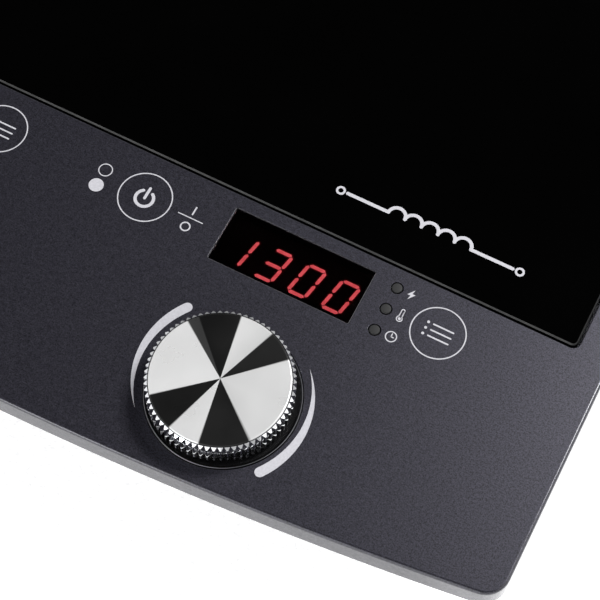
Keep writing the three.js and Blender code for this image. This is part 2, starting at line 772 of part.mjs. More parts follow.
function fanRotor() {
  const bottom = FAN_BOTTOM + 2.5 + RUN;
  const top = FAN_BOTTOM + FAN_THICKNESS - 1;
  const middle = (bottom + top) / 2;
  const reach = FAN_BORE_RADIUS - FAN_TIP_CLEARANCE;
  const length = reach - FAN_HUB_RADIUS + 2;
  const hub = rod(0, 0, FAN_HUB_RADIUS, bottom, top, 20);
  const blades = [];
  for (let i = 0; i < FAN_BLADES; i++) {
    const blade = new THREE.BoxGeometry(length, 15, 1.6);
    blade.rotateX(THREE.MathUtils.degToRad(38));
    blade.translate(FAN_HUB_RADIUS - 2 + length / 2, 0, middle);
    blades.push(blade.rotateZ((i * 2 * Math.PI) / FAN_BLADES));
  }
  return shape(hub, blades, [rod(0, 0, 1.5 + FIT, bottom - 1, top - 4, 10)]);
}

// ---------------------------------------------------------------------------------------------
// Control set: display, lamps, touch keys, rotary encoder and knob
// ---------------------------------------------------------------------------------------------
const ON_BOARD = CONTROL_BOARD_TOP + FIT;

function controlBoard() {
  const bottom = CONTROL_BOARD_TOP - BOARD_THICKNESS;
  const y = CONTROL_BOARD_REAR - CONTROL_BOARD_DEPTH / 2;
  return box(CONSOLE_MIDDLE_X, y, CONTROL_BOARD_WIDTH, CONTROL_BOARD_DEPTH, bottom, CONTROL_BOARD_TOP);
}

function displayWindow() {
  const halfWidth = DISPLAY_WIDTH / 2 - FIT;
  const halfDepth = DISPLAY_DEPTH / 2 - FIT;
  const top = PANEL_TOP - LENS_RECESS;
  const outline = roundedRectangle(halfWidth, -halfDepth, halfDepth, 0.6);
  return slab(outline, top - LENS_THICKNESS, top);
}

function displayModule() {
  const width = DISPLAY_WIDTH - 2 * LED_MODULE_MARGIN;
  const depth = DISPLAY_DEPTH - 2 * LED_MODULE_DEPTH_MARGIN;
  return box(0, 0, width, depth, ON_BOARD, PANEL_UNDERSIDE - FIT);
}

function indicatorLamp() {
  const radius = LAMP_HOLE_RADIUS - FIT;
  const top = PANEL_TOP + LAMP_PROUD;
  return turned(
    [
      [0, ON_BOARD],
      [radius, ON_BOARD],
      [radius, top - 1],
      [radius * 0.75, top - 0.3],
      [0, top],
    ],
    10,
  );
}

function touchPad() {
  return rod(0, 0, KEY_PAD_RADIUS, ON_BOARD, PANEL_UNDERSIDE - FIT, 14);
}

function encoderBody() {
  const bodyTop = PANEL_UNDERSIDE - FIT;
  const bushTop = PANEL_TOP + 2;
  const bore = rod(0, 0, SHAFT_RADIUS + FIT, ON_BOARD + 2, bushTop + 1);
  const bush = rod(0, 0, BUSH_RADIUS, ON_BOARD, bushTop);
  return shape(box(0, 0, ENCODER_SIZE, ENCODER_SIZE, ON_BOARD, bodyTop), [bush], [bore]);
}

const HUB_BORE_TOP = KNOB_TOP - CAP_PROUD - CAP_THICKNESS - 1.8;

function encoderShaft() {
  const top = HUB_BORE_TOP - FIT;
  const flat = box(0, SHAFT_RADIUS, 4 * SHAFT_RADIUS, 2 * SHAFT_FLAT, PANEL_TOP + 3, top + 1);
  return shape(rod(0, 0, SHAFT_RADIUS, ON_BOARD + 2 + FIT, top), [], [flat]);
}

// The trim dish in the panel's well, with a narrow bright rim just above the panel.
function knobBezel() {
  const outer = WELL_RADIUS - FIT;
  const bottom = WELL_FLOOR + FIT;
  const rimTop = PANEL_TOP + 0.3;
  const inner = BUSH_RADIUS + FIT + DISH_PLAY;
  const dish = ring(
    [
      [inner, bottom],
      [outer, bottom],
      [outer, rimTop - 0.2],
      [outer - 0.3, rimTop],
      [outer - BEZEL_RIM, rimTop - 0.2],
      [outer - BEZEL_RIM, bottom + BEZEL_FLOOR],
      [inner, bottom + BEZEL_FLOOR],
    ],
    40,
  );
  return dish.translate(DISH_OFFSET_X, DISH_OFFSET_Y, 0);
}

// The knurled skirt: a cup, open downwards, with a hub that grips the shaft.
function knobBody() {
  const bottom = PANEL_TOP + RUN;
  const rimTop = KNOB_TOP - CAP_PROUD;
  const capSeat = rimTop - CAP_THICKNESS - FIT;
  const knurl = [];
  for (let i = 0; i < 2 * KNURL_TEETH; i++) {
    const angle = (Math.PI * i) / KNURL_TEETH;
    const radius = KNOB_RADIUS - (i % 2) * KNURL_DEPTH;
    knurl.push(new THREE.Vector2(radius * Math.cos(angle), radius * Math.sin(angle)));
  }
  const inside = KNOB_RADIUS - KNURL_DEPTH - KNOB_WALL;
  const flat = box(0, SHAFT_RADIUS + FIT, 4 * SHAFT_RADIUS, 2 * SHAFT_FLAT, bottom - 1, HUB_BORE_TOP + 1);
  const bore = shape(rod(0, 0, SHAFT_RADIUS + FIT, bottom - 1, HUB_BORE_TOP), [], [flat]);
  const hub = rod(0, 0, SHAFT_RADIUS + 3, PANEL_TOP + 3, capSeat - 0.5);
  const skirt = shape(slab(knurl, bottom, rimTop), [], [
    rod(0, 0, inside, bottom - 1, capSeat - 1.5, 24),
    rod(0, 0, CAP_RADIUS + FIT, capSeat, rimTop + 1, 40),
  ]);
  return shape(skirt, [hub], [bore]);
}

function knobCap() {
  const bottom = KNOB_TOP - CAP_PROUD - CAP_THICKNESS;
  return turned(
    [
      [0, bottom],
      [CAP_RADIUS, bottom],
      [CAP_RADIUS, KNOB_TOP - 0.5],
      [CAP_RADIUS - 0.5, KNOB_TOP],
      [0, KNOB_TOP],
    ],
    40,
  );
}

// ---------------------------------------------------------------------------------------------
// Mains inlet
// ---------------------------------------------------------------------------------------------

// A sleeve through the rear wall with a flange on each side of it, along Y.
function cordGland() {
  const wallOuter = REAR_Y - baseInset(GLAND_HEIGHT);
  const lean = GLAND_FLANGE_RADIUS * Math.abs(baseInset(1) - baseInset(0)) + FIT;
  const outerFlange = wallOuter + lean;
  const innerFlange = wallOuter - BASE_WALL - lean;
  const sleeve = ring(
    [
      [CORD_HOLE_RADIUS, innerFlange - 10],
      [GLAND_RADIUS, innerFlange - 10],
      [GLAND_RADIUS, innerFlange - 2],
      [GLAND_FLANGE_RADIUS, innerFlange - 2],
      [GLAND_FLANGE_RADIUS, innerFlange],
      [GLAND_RADIUS, innerFlange],
      [GLAND_RADIUS, outerFlange],
      [GLAND_FLANGE_RADIUS, outerFlange],
      [GLAND_FLANGE_RADIUS, outerFlange + 3],
      [GLAND_RADIUS, outerFlange + 6],
      [CORD_HOLE_RADIUS, outerFlange + 6],
    ],
    14,
  );
  return sleeve.rotateX(-Math.PI / 2).translate(GLAND_X, 0, GLAND_HEIGHT);
}

function terminalBlock() {
  const y = REAR_Y - 60;
  const bottom = FLOOR_TOP + FIT;
  const block = box(GLAND_X, y, 36, 16, bottom, bottom + 14);
  const mouths = [-11, 0, 11].map((x) => box(GLAND_X + x, y, 7, 20, bottom + 5, bottom + 11));
  return shape(block, [], mouths);
}

// ---------------------------------------------------------------------------------------------
// Assembly
// ---------------------------------------------------------------------------------------------
addPart(group, "top_housing", topHousing(), PAINT);
addPart(group, "glass_plate", glassPlate(), BLACK_GLASS);
addPart(group, "glass_seal", glassSeal(), BLACK_RUBBER);
addPart(group, "bottom_housing", bottomHousing(), BLACK_PLASTIC);
addPart(group, "control_board", controlBoard(), BOARD_GREEN);
addPart(group, "cord_gland", cordGland(), BLACK_RUBBER);
addPart(group, "terminal_block", terminalBlock(), CERAMIC_WHITE);

for (const { name, x, y } of FOOT_PLACES) {
  const corner = new THREE.Group();
  corner.position.set(x, y, 0);
  group.add(corner);
  addPart(corner, `foot_${name}`, foot(), BLACK_RUBBER);
}

SCREW_PLACES.forEach(({ x, y }, i) => {
  const corner = new THREE.Group();
  corner.position.set(x, y, FLOOR_TOP + SCREW_HEAD_HEIGHT - FIT);
  group.add(corner);
  addPart(corner, `housing_screw_${i + 1}`, housingScrew(), STEEL);
});

for (const zone of ZONES) {
  const middle = new THREE.Group();
  middle.position.set(0, zone.y, 0);
  group.add(middle);
  addPart(middle, `coil_former_${zone.name}`, coilFormer(), BLACK_PLASTIC);
  addPart(middle, `coil_winding_${zone.name}`, coilWinding(), COPPER);
  addPart(middle, `mica_sheet_${zone.name}`, micaSheet(), MICA);
  addPart(middle, `temperature_sensor_${zone.name}`, temperatureSensor(), CERAMIC_WHITE);

  const stage = new THREE.Group();
  stage.position.set(POWER_BOARD_X, 0, 0);
  middle.add(stage);
  addPart(stage, `power_board_${zone.name}`, powerBoard(), BOARD_GREEN);
  addPart(stage, `heatsink_${zone.name}`, heatsink(), ALUMINIUM);
  addPart(stage, `film_capacitor_${zone.name}`, filmCapacitor(), FILM_YELLOW);
  addPart(stage, `line_choke_${zone.name}`, lineChoke(), GREY_PLASTIC);

  const fan = new THREE.Group();
  fan.position.set(FAN_X, 0, 0);
  middle.add(fan);
  addPart(fan, `fan_frame_${zone.name}`, fanFrame(), BLACK_PLASTIC);
  addPart(fan, `fan_rotor_${zone.name}`, fanRotor(), BLACK_PLASTIC);
}

for (const set of CONSOLES) {
  const panel = new THREE.Group();
  panel.position.set(set.x, CONSOLE_Y, 0);
  group.add(panel);
  addPart(panel, `display_window_${set.name}`, displayWindow(), SMOKED_LENS);
  addPart(panel, `display_module_${set.name}`, displayModule(), GREY_PLASTIC);
  for (const lamp of LAMPS) {
    const place = new THREE.Group();
    place.position.set(LAMP_OFFSET_X, lamp.y, 0);
    panel.add(place);
    addPart(place, `indicator_${lamp.name}_${set.name}`, indicatorLamp(), BLACK_PLASTIC);
  }
  for (const key of KEYS) {
    const place = new THREE.Group();
    place.position.set(key.x, 0, 0);
    panel.add(place);
    addPart(place, `touch_pad_${key.name}_${set.name}`, touchPad(), FOAM_GREY);
  }
  const knob = new THREE.Group();
  knob.position.set(KNOB_OFFSET_X, KNOB_OFFSET_Y, 0);
  panel.add(knob);
  addPart(knob, `encoder_body_${set.name}`, encoderBody(), GREY_PLASTIC);
  addPart(knob, `encoder_shaft_${set.name}`, encoderShaft(), STEEL);
  addPart(knob, `knob_bezel_${set.name}`, knobBezel(), BLACK_PLASTIC);
  addPart(knob, `knob_body_${set.name}`, knobBody(), BRIGHT_CHROME);
  addPart(knob, `knob_cap_${set.name}`, knobCap(), TURNED_METAL);
}

export default group;
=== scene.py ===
"""Looks of a portable double induction cooktop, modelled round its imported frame.

The frame gives every place and size that another part depends on. The classes below hold one
sub-assembly each: they model its pieces in millimetres, dress them and hang them on their body.
"""

import functools
import logging
import math
import random
from collections.abc import Callable, Iterable, Sequence
from dataclasses import dataclass
from enum import Enum

import bmesh
import bpy
from mathutils import Matrix, Vector


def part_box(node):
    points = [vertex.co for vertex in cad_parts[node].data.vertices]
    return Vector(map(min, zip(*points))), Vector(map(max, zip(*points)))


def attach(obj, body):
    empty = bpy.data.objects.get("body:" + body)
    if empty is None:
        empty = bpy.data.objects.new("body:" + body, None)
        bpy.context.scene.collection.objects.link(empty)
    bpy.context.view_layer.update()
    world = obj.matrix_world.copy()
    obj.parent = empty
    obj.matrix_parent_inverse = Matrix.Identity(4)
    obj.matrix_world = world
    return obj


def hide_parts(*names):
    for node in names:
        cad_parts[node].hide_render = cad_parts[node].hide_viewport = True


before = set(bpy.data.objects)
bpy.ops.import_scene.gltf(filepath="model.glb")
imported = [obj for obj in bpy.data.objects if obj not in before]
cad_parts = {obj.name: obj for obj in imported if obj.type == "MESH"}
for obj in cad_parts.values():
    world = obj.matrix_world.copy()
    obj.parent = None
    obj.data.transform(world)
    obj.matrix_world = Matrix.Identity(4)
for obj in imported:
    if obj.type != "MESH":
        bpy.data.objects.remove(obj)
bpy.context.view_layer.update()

LOG = logging.getLogger("cooktop")
MM = 0.001
TAU = math.tau
FIT = 0.3  # clearance between neighbouring parts
WHITE = (1, 1, 1, 1)
SHARP = 32  # angle in degrees from which an edge counts as sharp
SIDES = ("left", "right")
ZONES = ("front", "rear")
LAMPS = ("power", "temperature", "timer")
KEYS = ("power", "menu")
CORNERS = ("front_left", "front_right", "rear_left", "rear_right")

Point = tuple[float, float]
Step = tuple[float, float]
Colour = tuple[float, float, float]


# ---- Places in the frame
@dataclass(frozen=True)
class Span:
    """The box of a frame node, in millimetres."""

    low: Vector
    high: Vector

    @property
    def mid(self) -> Vector:
        """The middle of the box."""
        return (self.low + self.high) / 2

    @property
    def size(self) -> Vector:
        """The box's width, depth and height."""
        return self.high - self.low


def span(node: str) -> Span:
    """Reads the box of a frame node.

    Args:
        node: The node's name.

    Returns:
        Its box in millimetres.
    """
    low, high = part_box(node)
    return Span(low / MM, high / MM)


# ---- Outlines and steps
def arc(x: float, y: float, radius: float, start: float, stop: float, steps: int) -> list[Point]:
    """Lays points along an arc.

    Args:
        x: Centre of the arc.
        y: Centre of the arc.
        radius: Its radius.
        start: First angle in degrees.
        stop: Last angle in degrees.
        steps: Number of stretches between the points.

    Returns:
        The points, both ends included.
    """
    angles = [math.radians(start + (stop - start) * i / steps) for i in range(steps + 1)]
    return [(x + radius * math.cos(a), y + radius * math.sin(a)) for a in angles]


def round_box(low: Point, high: Point, radius: float, steps: int = 8) -> list[Point]:
    """Outlines a rectangle with round corners, anticlockwise.

    Args:
        low: Its left front corner.
        high: Its right rear corner.
        radius: Corner radius.
        steps: Stretches in each corner.

    Returns:
        The outline's points.
    """
    left, front = low[0] + radius, low[1] + radius
    right, rear = high[0] - radius, high[1] - radius
    return [
        *arc(right, front, radius, -90, 0, steps),
        *arc(right, rear, radius, 0, 90, steps),
        *arc(left, rear, radius, 90, 180, steps),
        *arc(left, front, radius, 180, 270, steps),
    ]


def circle(mid: Sequence[float], radius: float, sides: int) -> list[Point]:
    """Outlines a circle, with no point twice."""
    return arc(mid[0], mid[1], radius, 0, 360 - 360 / sides, sides - 1)


def around(
    mid: Sequence[float], width: float, depth: float, radius: float = 0.5, steps: int = 4
) -> list[Point]:
    """Outlines a round-cornered rectangle about a middle point."""
    low = (mid[0] - width / 2, mid[1] - depth / 2)
    return round_box(low, (mid[0] + width / 2, mid[1] + depth / 2), radius, steps)


def polar(reach: float, angle: float) -> Point:
    """Places a point by its distance from the origin and its angle."""
    return reach * math.cos(angle), reach * math.sin(angle)


def shoulder(radius: float, height: float, edge: float, angles: Sequence[float]) -> list[Point]:
    """Rounds the rim of a profile, from its side towards its top."""
    return [(radius - edge + edge * math.cos(a), height - edge + edge * math.sin(a)) for a in angles]


def thread(start: float, pitch: float, turns: int, sides: tuple[float, float], rise: float) -> list[Point]:
    """Lays the zigzag of a thread in a profile.

    Args:
        start: Height of the first turn.
        pitch: Rise from turn to turn.
        turns: Number of turns.
        sides: The two radii that each turn runs between.
        rise: Height of the second radius over the first.

    Returns:
        The points, as (radius, height).
    """
    heights = [start + i * pitch for i in range(turns)]
    return [point for z in heights for point in ((sides[0], z), (sides[1], z + rise))]


def rounding(radius: float, steps: int = 4, flare: bool = False) -> list[Step]:
    """Splits a quarter round into steps of (rise, inset).

    Args:
        radius: Radius of the round.
        steps: Number of steps.
        flare: Whether the round opens outwards, as at the mouth of a hole.

    Returns:
        The steps, from the upright side to the flat top.
    """
    sign = -1 if flare else 1
    angles = [math.pi / 2 * i / steps for i in range(steps + 1)]
    pairs = zip(angles, angles[1:])
    return [
        (radius * (math.sin(b) - math.sin(a)), sign * radius * (math.cos(a) - math.cos(b)))
        for a, b in pairs
    ]


# ---- Shapes
class Cut(Enum):
    """How a tool acts on a form."""

    AWAY = "DIFFERENCE"
    ON = "UNION"
    WITHIN = "INTERSECT"


def slanted(face: bmesh.types.BMFace) -> bool:
    """Tells the faces of a chamfer from flat and upright ones."""
    return 0.2 < face.normal.z < 0.95


class Form:
    """A mesh in the making, in millimetres, until it becomes a piece."""

    def __init__(self) -> None:
        """Starts with nothing."""
        self.bm = bmesh.new()

    def outward(self) -> "Form":
        """Turns the faces of each closed shell outwards."""
        bmesh.ops.recalc_face_normals(self.bm, faces=self.bm.faces)
        return self

    @classmethod
    def prism(cls, outline: Sequence[Point], bottom: float, *steps: Step) -> "Form":
        """Draws an outline and raises it step by step.

        Args:
            outline: The outline at the bottom, anticlockwise.
            bottom: Height of the bottom.
            steps: For each step its rise and how far the outline pulls in.

        Returns:
            The closed solid.
        """
        form = cls()
        verts = [form.bm.verts.new((x, y, bottom)) for x, y in outline]
        top = form.bm.faces.new(verts)
        top.normal_update()
        for rise, inset in steps:
            bmesh.ops.inset_individual(
                form.bm, faces=[top], thickness=inset, depth=rise, use_even_offset=True
            )
        form.bm.faces.new(list(reversed(verts)))
        return form.outward()

    @classmethod
    def turned(cls, profile: Sequence[Point], sides: int = 48, ring: bool = False) -> "Form":
        """Turns a profile about the upright axis.

        Args:
            profile: Points as (radius, height).
            sides: Steps of the turn.
            ring: Whether the profile closes on itself instead of on the axis.

        Returns:
            The closed solid.
        """
        form = cls()
        verts = [form.bm.verts.new((radius, 0, height)) for radius, height in profile]
        ends = verts[1:] + verts[:1] if ring else verts[1:]
        edges = [form.bm.edges.new(pair) for pair in zip(verts, ends)]
        bmesh.ops.spin(
            form.bm, geom=verts + edges, cent=(0, 0, 0), axis=(0, 0, 1), dvec=(0, 0, 0),
            angle=TAU, steps=sides, use_merge=True,
        )
        bmesh.ops.remove_doubles(form.bm, verts=form.bm.verts, dist=1e-4)
        return form.outward()

    @classmethod
    def rod(cls, radius: float, bottom: float, top: float, sides: int = 32) -> "Form":
        """Makes an upright cylinder on the axis."""
        return cls.turned([(0, bottom), (radius, bottom), (radius, top), (0, top)], sides)

    @classmethod
    def block(cls, low: Sequence[float], high: Sequence[float]) -> "Form":
        """Makes a box.

        Args:
            low: Its lowest corner.
            high: Its highest corner.

        Returns:
            The closed solid.
        """
        form, size, middle = cls(), Vector(high) - Vector(low), (Vector(high) + Vector(low)) / 2
        matrix = Matrix.Translation(middle) @ Matrix.Diagonal((*size, 1))
        bmesh.ops.create_cube(form.bm, size=1, matrix=matrix)
        return form

    @classmethod
    def sweep(cls, points: Sequence[Sequence[float]], radius: float, sides: int = 8) -> "Form":
        """Runs a round wire through points.

        Args:
            points: The wire's middle line.
            radius: Half the wire's thickness.
            sides: Faces round the wire, an even number from four.

        Returns:
            The wire, with its ends closed.
        """
        curve = bpy.data.curves.new("wire", "CURVE")
        curve.dimensions = "3D"
        curve.bevel_depth = radius
        curve.bevel_resolution = sides // 2 - 2
        curve.use_fill_caps = True
        spline = curve.splines.new("POLY")
        spline.points.add(len(points) - 1)
        for spot, point in zip(spline.points, points):
            spot.co = (*point, 1)
        wire = bpy.data.objects.new("wire", curve)
        form = cls()
        mesh = wire.to_mesh()
        form.bm.from_mesh(mesh)
        wire.to_mesh_clear()
        bpy.data.objects.remove(wire)
        bpy.data.curves.remove(curve)
        bmesh.ops.remove_doubles(form.bm, verts=form.bm.verts, dist=1e-4)
        return form.outward()

    def place(self, matrix: Matrix) -> "Form":
        """Moves the whole form by a matrix."""
        bmesh.ops.transform(self.bm, matrix=matrix, verts=self.bm.verts)
        return self

    def at(self, x: float = 0, y: float = 0, z: float = 0) -> "Form":
        """Shifts the form."""
        return self.place(Matrix.Translation((x, y, z)))

    def turn(self, degrees: float, axis: str = "Z") -> "Form":
        """Turns the form about an axis through the origin."""
        return self.place(Matrix.Rotation(math.radians(degrees), 4, axis))

    def paint(self, index: int) -> "Form":
        """Gives all faces the material of that index."""
        return self.paint_where(index, lambda face: True)

    def paint_where(self, index: int, test: Callable[[bmesh.types.BMFace], bool]) -> "Form":
        """Gives faces another material.

        Args:
            index: Index of the material.
            test: Picks the faces.

        Returns:
            The form itself.
        """
        for face in filter(test, self.bm.faces):
            face.material_index = index
        return self

    def ease(self, radius: float, segments: int = 2) -> "Form":
        """Rounds the sharp edges.

        Args:
            radius: Size of the round.
            segments: Faces across it.

        Returns:
            The form itself.
        """
        sharp = [
            edge
            for edge in self.bm.edges
            if len(edge.link_faces) == 2 and edge.calc_face_angle(0) > math.radians(SHARP)
        ]
        bmesh.ops.bevel(
            self.bm, geom=sharp, offset=radius, offset_type="OFFSET", segments=segments,
            profile=0.5, affect="EDGES", material=-1, clamp_overlap=True,
        )
        return self

    def add(self, *others: "Form") -> "Form":
        """Takes in other forms as separate shells.

        Args:
            others: The forms.

        Returns:
            The form itself.
        """
        for other in others:
            mesh = bpy.data.meshes.new("shell")
            other.bm.to_mesh(mesh)
            self.bm.from_mesh(mesh)
            bpy.data.meshes.remove(mesh)
        return self

    def _shown(self, name: str) -> bpy.types.Object:
        """Makes a passing object of the form.

        Args:
            name: Name of the object.

        Returns:
            The object, linked to the scene.
        """
        mesh = bpy.data.meshes.new(name)
        self.bm.to_mesh(mesh)
        passing = bpy.data.objects.new(name, mesh)
        bpy.context.scene.collection.objects.link(passing)
        return passing

    def work(self, how: Cut, tools: Iterable["Form"]) -> "Form":
        """Cuts tools away from the form or joins them on.

        Args:
            how: Whether the tools are cut away or joined on.
            tools: The closed solids that do it.

        Returns:
            The form itself.
        """
        base = self._shown("base")
        passing = [tool._shown("tool") for tool in tools]
        for tool in passing:
            step = base.modifiers.new("step", "BOOLEAN")
            step.operation = how.value
            step.object = tool
            step.solver = "MANIFOLD"
        graph = bpy.context.evaluated_depsgraph_get()
        made = bpy.data.meshes.new_from_object(base.evaluated_get(graph))
        self.bm.clear()
        self.bm.from_mesh(made)
        bpy.data.meshes.remove(made)
        for leftover in [base, *passing]:
            mesh = leftover.data
            bpy.data.objects.remove(leftover)
            bpy.data.meshes.remove(mesh)
        return self

    def cut(self, *tools: "Form") -> "Form":
        """Cuts tools away."""
        return self.work(Cut.AWAY, tools)

    def join(self, *tools: "Form") -> "Form":
        """Joins tools on."""
        return self.work(Cut.ON, tools)

    def piece(
        self, name: str, finishes: "Finish | Sequence[Finish]", slot: str,
        replaces: Sequence[str] = (), body: str = "root", crease: float = SHARP,
    ) -> bpy.types.Object:
        """Makes the finished piece and hangs it on its body.

        Args:
            name: The piece's name.
            finishes: Its finish, or one for each material index.
            slot: The record's material slot, or nothing for a print or a light; not used here.
            replaces: The frame nodes it stands for.
            body: The body it moves with.
            crease: Angle in degrees above which an edge stays sharp in the shading.

        Returns:
            The object.
        """
        bmesh.ops.scale(self.bm, vec=(MM, MM, MM), verts=self.bm.verts)
        mesh = bpy.data.meshes.new(name)
        self.bm.to_mesh(mesh)
        self.bm.free()
        for finish in [finishes] if isinstance(finishes, Finish) else finishes:
            mesh.materials.append(finish.material())
        mesh.shade_smooth()
        mesh.set_sharp_from_angle(angle=math.radians(crease))
        made = bpy.data.objects.new(name, mesh)
        bpy.context.scene.collection.objects.link(made)
        weighted = made.modifiers.new("even_shading", "WEIGHTED_NORMAL")
        weighted.keep_sharp = True
        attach(made, body)
        if replaces:
            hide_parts(*replaces)
        LOG.info("%s: %d faces, on %s", name, len(mesh.polygons), body)
        return made


# ---- Finishes
def linear(colour: Colour, share: float = 1.0) -> tuple[float, float, float, float]:
    """Turns a display colour into the shader's own, times a share.

    Args:
        colour: Red, green and blue from 0 to 255.
        share: What the light it returns is multiplied by.

    Returns:
        Red, green, blue and alpha.
    """
    def straighten(value: float) -> float:
        """Takes the display curve out of one channel."""
        v = value / 255
        return v / 12.92 if v <= 0.04045 else ((v + 0.055) / 1.055) ** 2.4

    return (*(min(1.0, straighten(value) * share) for value in colour), 1.0)


Value = "bpy.types.NodeSocket | float | tuple"


class Bench:
    """The node tree of a material or of the world."""

    def __init__(self, owner: bpy.types.ID, shader: str, coordinates: str) -> None:
        """Opens the tree.

        Args:
            owner: The material or the world.
            shader: Name of its main node.
            coordinates: The texture coordinates that its patterns follow.
        """
        owner.use_nodes = True
        self.tree = owner.node_tree
        self.shader = self.tree.nodes[shader]
        self.where = self.node("TexCoord").outputs[coordinates]

    def feed(self, socket: bpy.types.NodeSocket, value: Value) -> None:
        """Feeds a socket.

        Args:
            socket: The socket.
            value: An output to link it to, or the value to set.
        """
        if isinstance(value, bpy.types.NodeSocket):
            self.tree.links.new(value, socket)
        else:
            socket.default_value = value

    def node(
        self, kind: str, inputs: dict[str | int, Value] | None = None, **settings: object
    ) -> bpy.types.Node:
        """Adds a node.

        Args:
            kind: Its type, without the leading ShaderNode.
            inputs: What its sockets are fed with.
            settings: Its other properties.

        Returns:
            The node.
        """
        node = self.tree.nodes.new("ShaderNode" + kind)
        for key, value in settings.items():
            setattr(node, key, value)
        for key, value in (inputs or {}).items():
            self.feed(node.inputs[key], value)
        return node

    def set(self, **values: Value) -> None:
        """Feeds the shader's sockets, named in lower case with underscores."""
        for key, value in values.items():
            self.feed(self.shader.inputs[key.replace("_", " ").title().replace("Ior", "IOR")], value)

    def noise(self, size: float, detail: float = 3, where: Value = None) -> bpy.types.NodeSocket:
        """A noise whose blotches are about that size in millimetres."""
        inputs = {"Vector": where or self.where, "Scale": 1 / (size * MM), "Detail": detail}
        return self.node("TexNoise", inputs).outputs[0]

    def math(self, operation: str, *values: Value) -> bpy.types.NodeSocket:
        """Adds a sum.

        Args:
            operation: Which sum.
            values: Its numbers or outputs.

        Returns:
            The result.
        """
        node = self.node("Math", operation=operation)
        for socket, value in zip(node.inputs, values):
            self.feed(socket, value)
        return node.outputs[0]

    def fit(
        self, value: Value, low: float, high: float, start: float = 0.3, stop: float = 0.7
    ) -> bpy.types.NodeSocket:
        """Maps a value between start and stop onto low to high."""
        inputs = {"Value": value, "From Min": start, "From Max": stop, "To Min": low, "To Max": high}
        return self.node("MapRange", inputs).outputs[0]

    def ramp(self, value: Value, stops: Sequence[tuple[float, tuple]]) -> bpy.types.NodeSocket:
        """Runs a value through colours.

        Args:
            value: The value.
            stops: Pairs of a place from 0 to 1 and a colour.

        Returns:
            The colour.
        """
        node = self.node("ValToRGB", {"Fac": value})
        elements = node.color_ramp.elements
        while len(elements) < len(stops):
            elements.new(0.5)
        for element, (place, colour) in zip(elements, stops):
            element.position = place
            element.color = colour
        return node.outputs["Color"]

    def centred(self, x: float, y: float) -> bpy.types.NodeSocket:
        """The piece's coordinates, measured from a point in millimetres."""
        return self.node("Mapping", {"Vector": self.where, "Location": (-x * MM, -y * MM, 0)}).outputs[0]

    def stretched(self, x: float, y: float, z: float) -> bpy.types.NodeSocket:
        """The piece's coordinates, scaled along each axis."""
        return self.node("Mapping", {"Vector": self.where, "Scale": (x, y, z)}).outputs[0]

    def radius_and_angle(self, where: Value) -> tuple[bpy.types.NodeSocket, bpy.types.NodeSocket]:
        """Splits coordinates about the upright axis.

        Args:
            where: The coordinates.

        Returns:
            The distance from the axis, and the angle as a share of a turn.
        """
        parts = self.node("SeparateXYZ", {"Vector": where}).outputs
        flat = self.node("CombineXYZ", {"X": parts[0], "Y": parts[1]}).outputs[0]
        radius = self.node("VectorMath", {"Vector": flat}, operation="LENGTH").outputs["Value"]
        angle = self.math("FRACT", self.math("DIVIDE", self.math("ARCTAN2", parts[1], parts[0]), TAU))
        return radius, angle

    def relief(self, height: Value, depth: float) -> None:
        """Raises the surface by up to a depth in millimetres where the height is 1."""
        bump = self.node("Bump", {"Height": height, "Distance": depth * MM})
        self.set(normal=bump.outputs["Normal"])


@functools.cache
def finished(finish: "Finish") -> bpy.types.Material:
    """Makes a finish's material, once.

    Args:
        finish: The finish.

    Returns:
        The material.
    """
    material = bpy.data.materials.new(finish.name)
    bench = Bench(material, "Principled BSDF", "Object")
    bench.set(metallic=finish.metallic)
    finish.dress(bench)
    return material


@dataclass(frozen=True)
class Finish:
    """A moulded or cast surface: one colour with mottle, grain and uneven gloss."""

    name: str
    colour: Colour
    roughness: float = 0.5
    metallic: float = 0.0
    grain: float = 0.8
    depth: float = 0.01
    mottle: float = 0.12
    uneven: float = 0.12

    def material(self) -> bpy.types.Material:
        """The finish as a material."""
        return finished(self)

    def tone(self, bench: Bench, value: Value) -> None:
        """Colours the surface from a darker to a lighter shade by a value."""
        dark, light = linear(self.colour, 1 - self.mottle), linear(self.colour, 1 + self.mottle)
        bench.set(base_color=bench.ramp(value, [(0.35, dark), (0.65, light)]))

    def gloss(self, bench: Bench, size: float) -> None:
        """Varies the roughness in blotches of that size in millimetres."""
        spread = self.roughness * self.uneven
        bench.set(roughness=bench.fit(bench.noise(size), self.roughness - spread, self.roughness + spread))

    def dress(self, bench: Bench) -> None:
        """Lays out the nodes."""
        fine = bench.noise(self.grain, 4)
        self.tone(bench, bench.noise(self.grain * 3))
        self.gloss(bench, self.grain * 12)
        bench.relief(fine, self.depth)


@dataclass(frozen=True)
class FlakePaint(Finish):
    """Stoved metallic paint with a fine sparkle."""

    flake: float = 0.55
    lacquer: float = 0.3

    def dress(self, bench: Bench) -> None:
        """Lays out the nodes."""
        sparkle = bench.noise(self.flake, 2)
        cloud = bench.noise(self.grain, 3)
        both = bench.math("MULTIPLY_ADD", sparkle, 0.7, bench.math("MULTIPLY", cloud, 0.3))
        bench.set(coat_weight=self.lacquer, coat_roughness=0.15)
        self.tone(bench, both)
        self.gloss(bench, 1.6)
        bench.relief(both, self.depth)


@dataclass(frozen=True)
class Polished(Finish):
    """A polished surface with faint wipe marks in its gloss."""

    coat: float = 0.0

    def dress(self, bench: Bench) -> None:
        """Lays out the nodes."""
        self.tone(bench, bench.noise(40))
        smear = bench.noise(22, 4, bench.stretched(1, 0.35, 1))
        bench.set(roughness=bench.fit(smear, self.roughness, self.roughness * (1 + self.uneven)))
        bench.set(coat_weight=self.coat, coat_roughness=0.03)


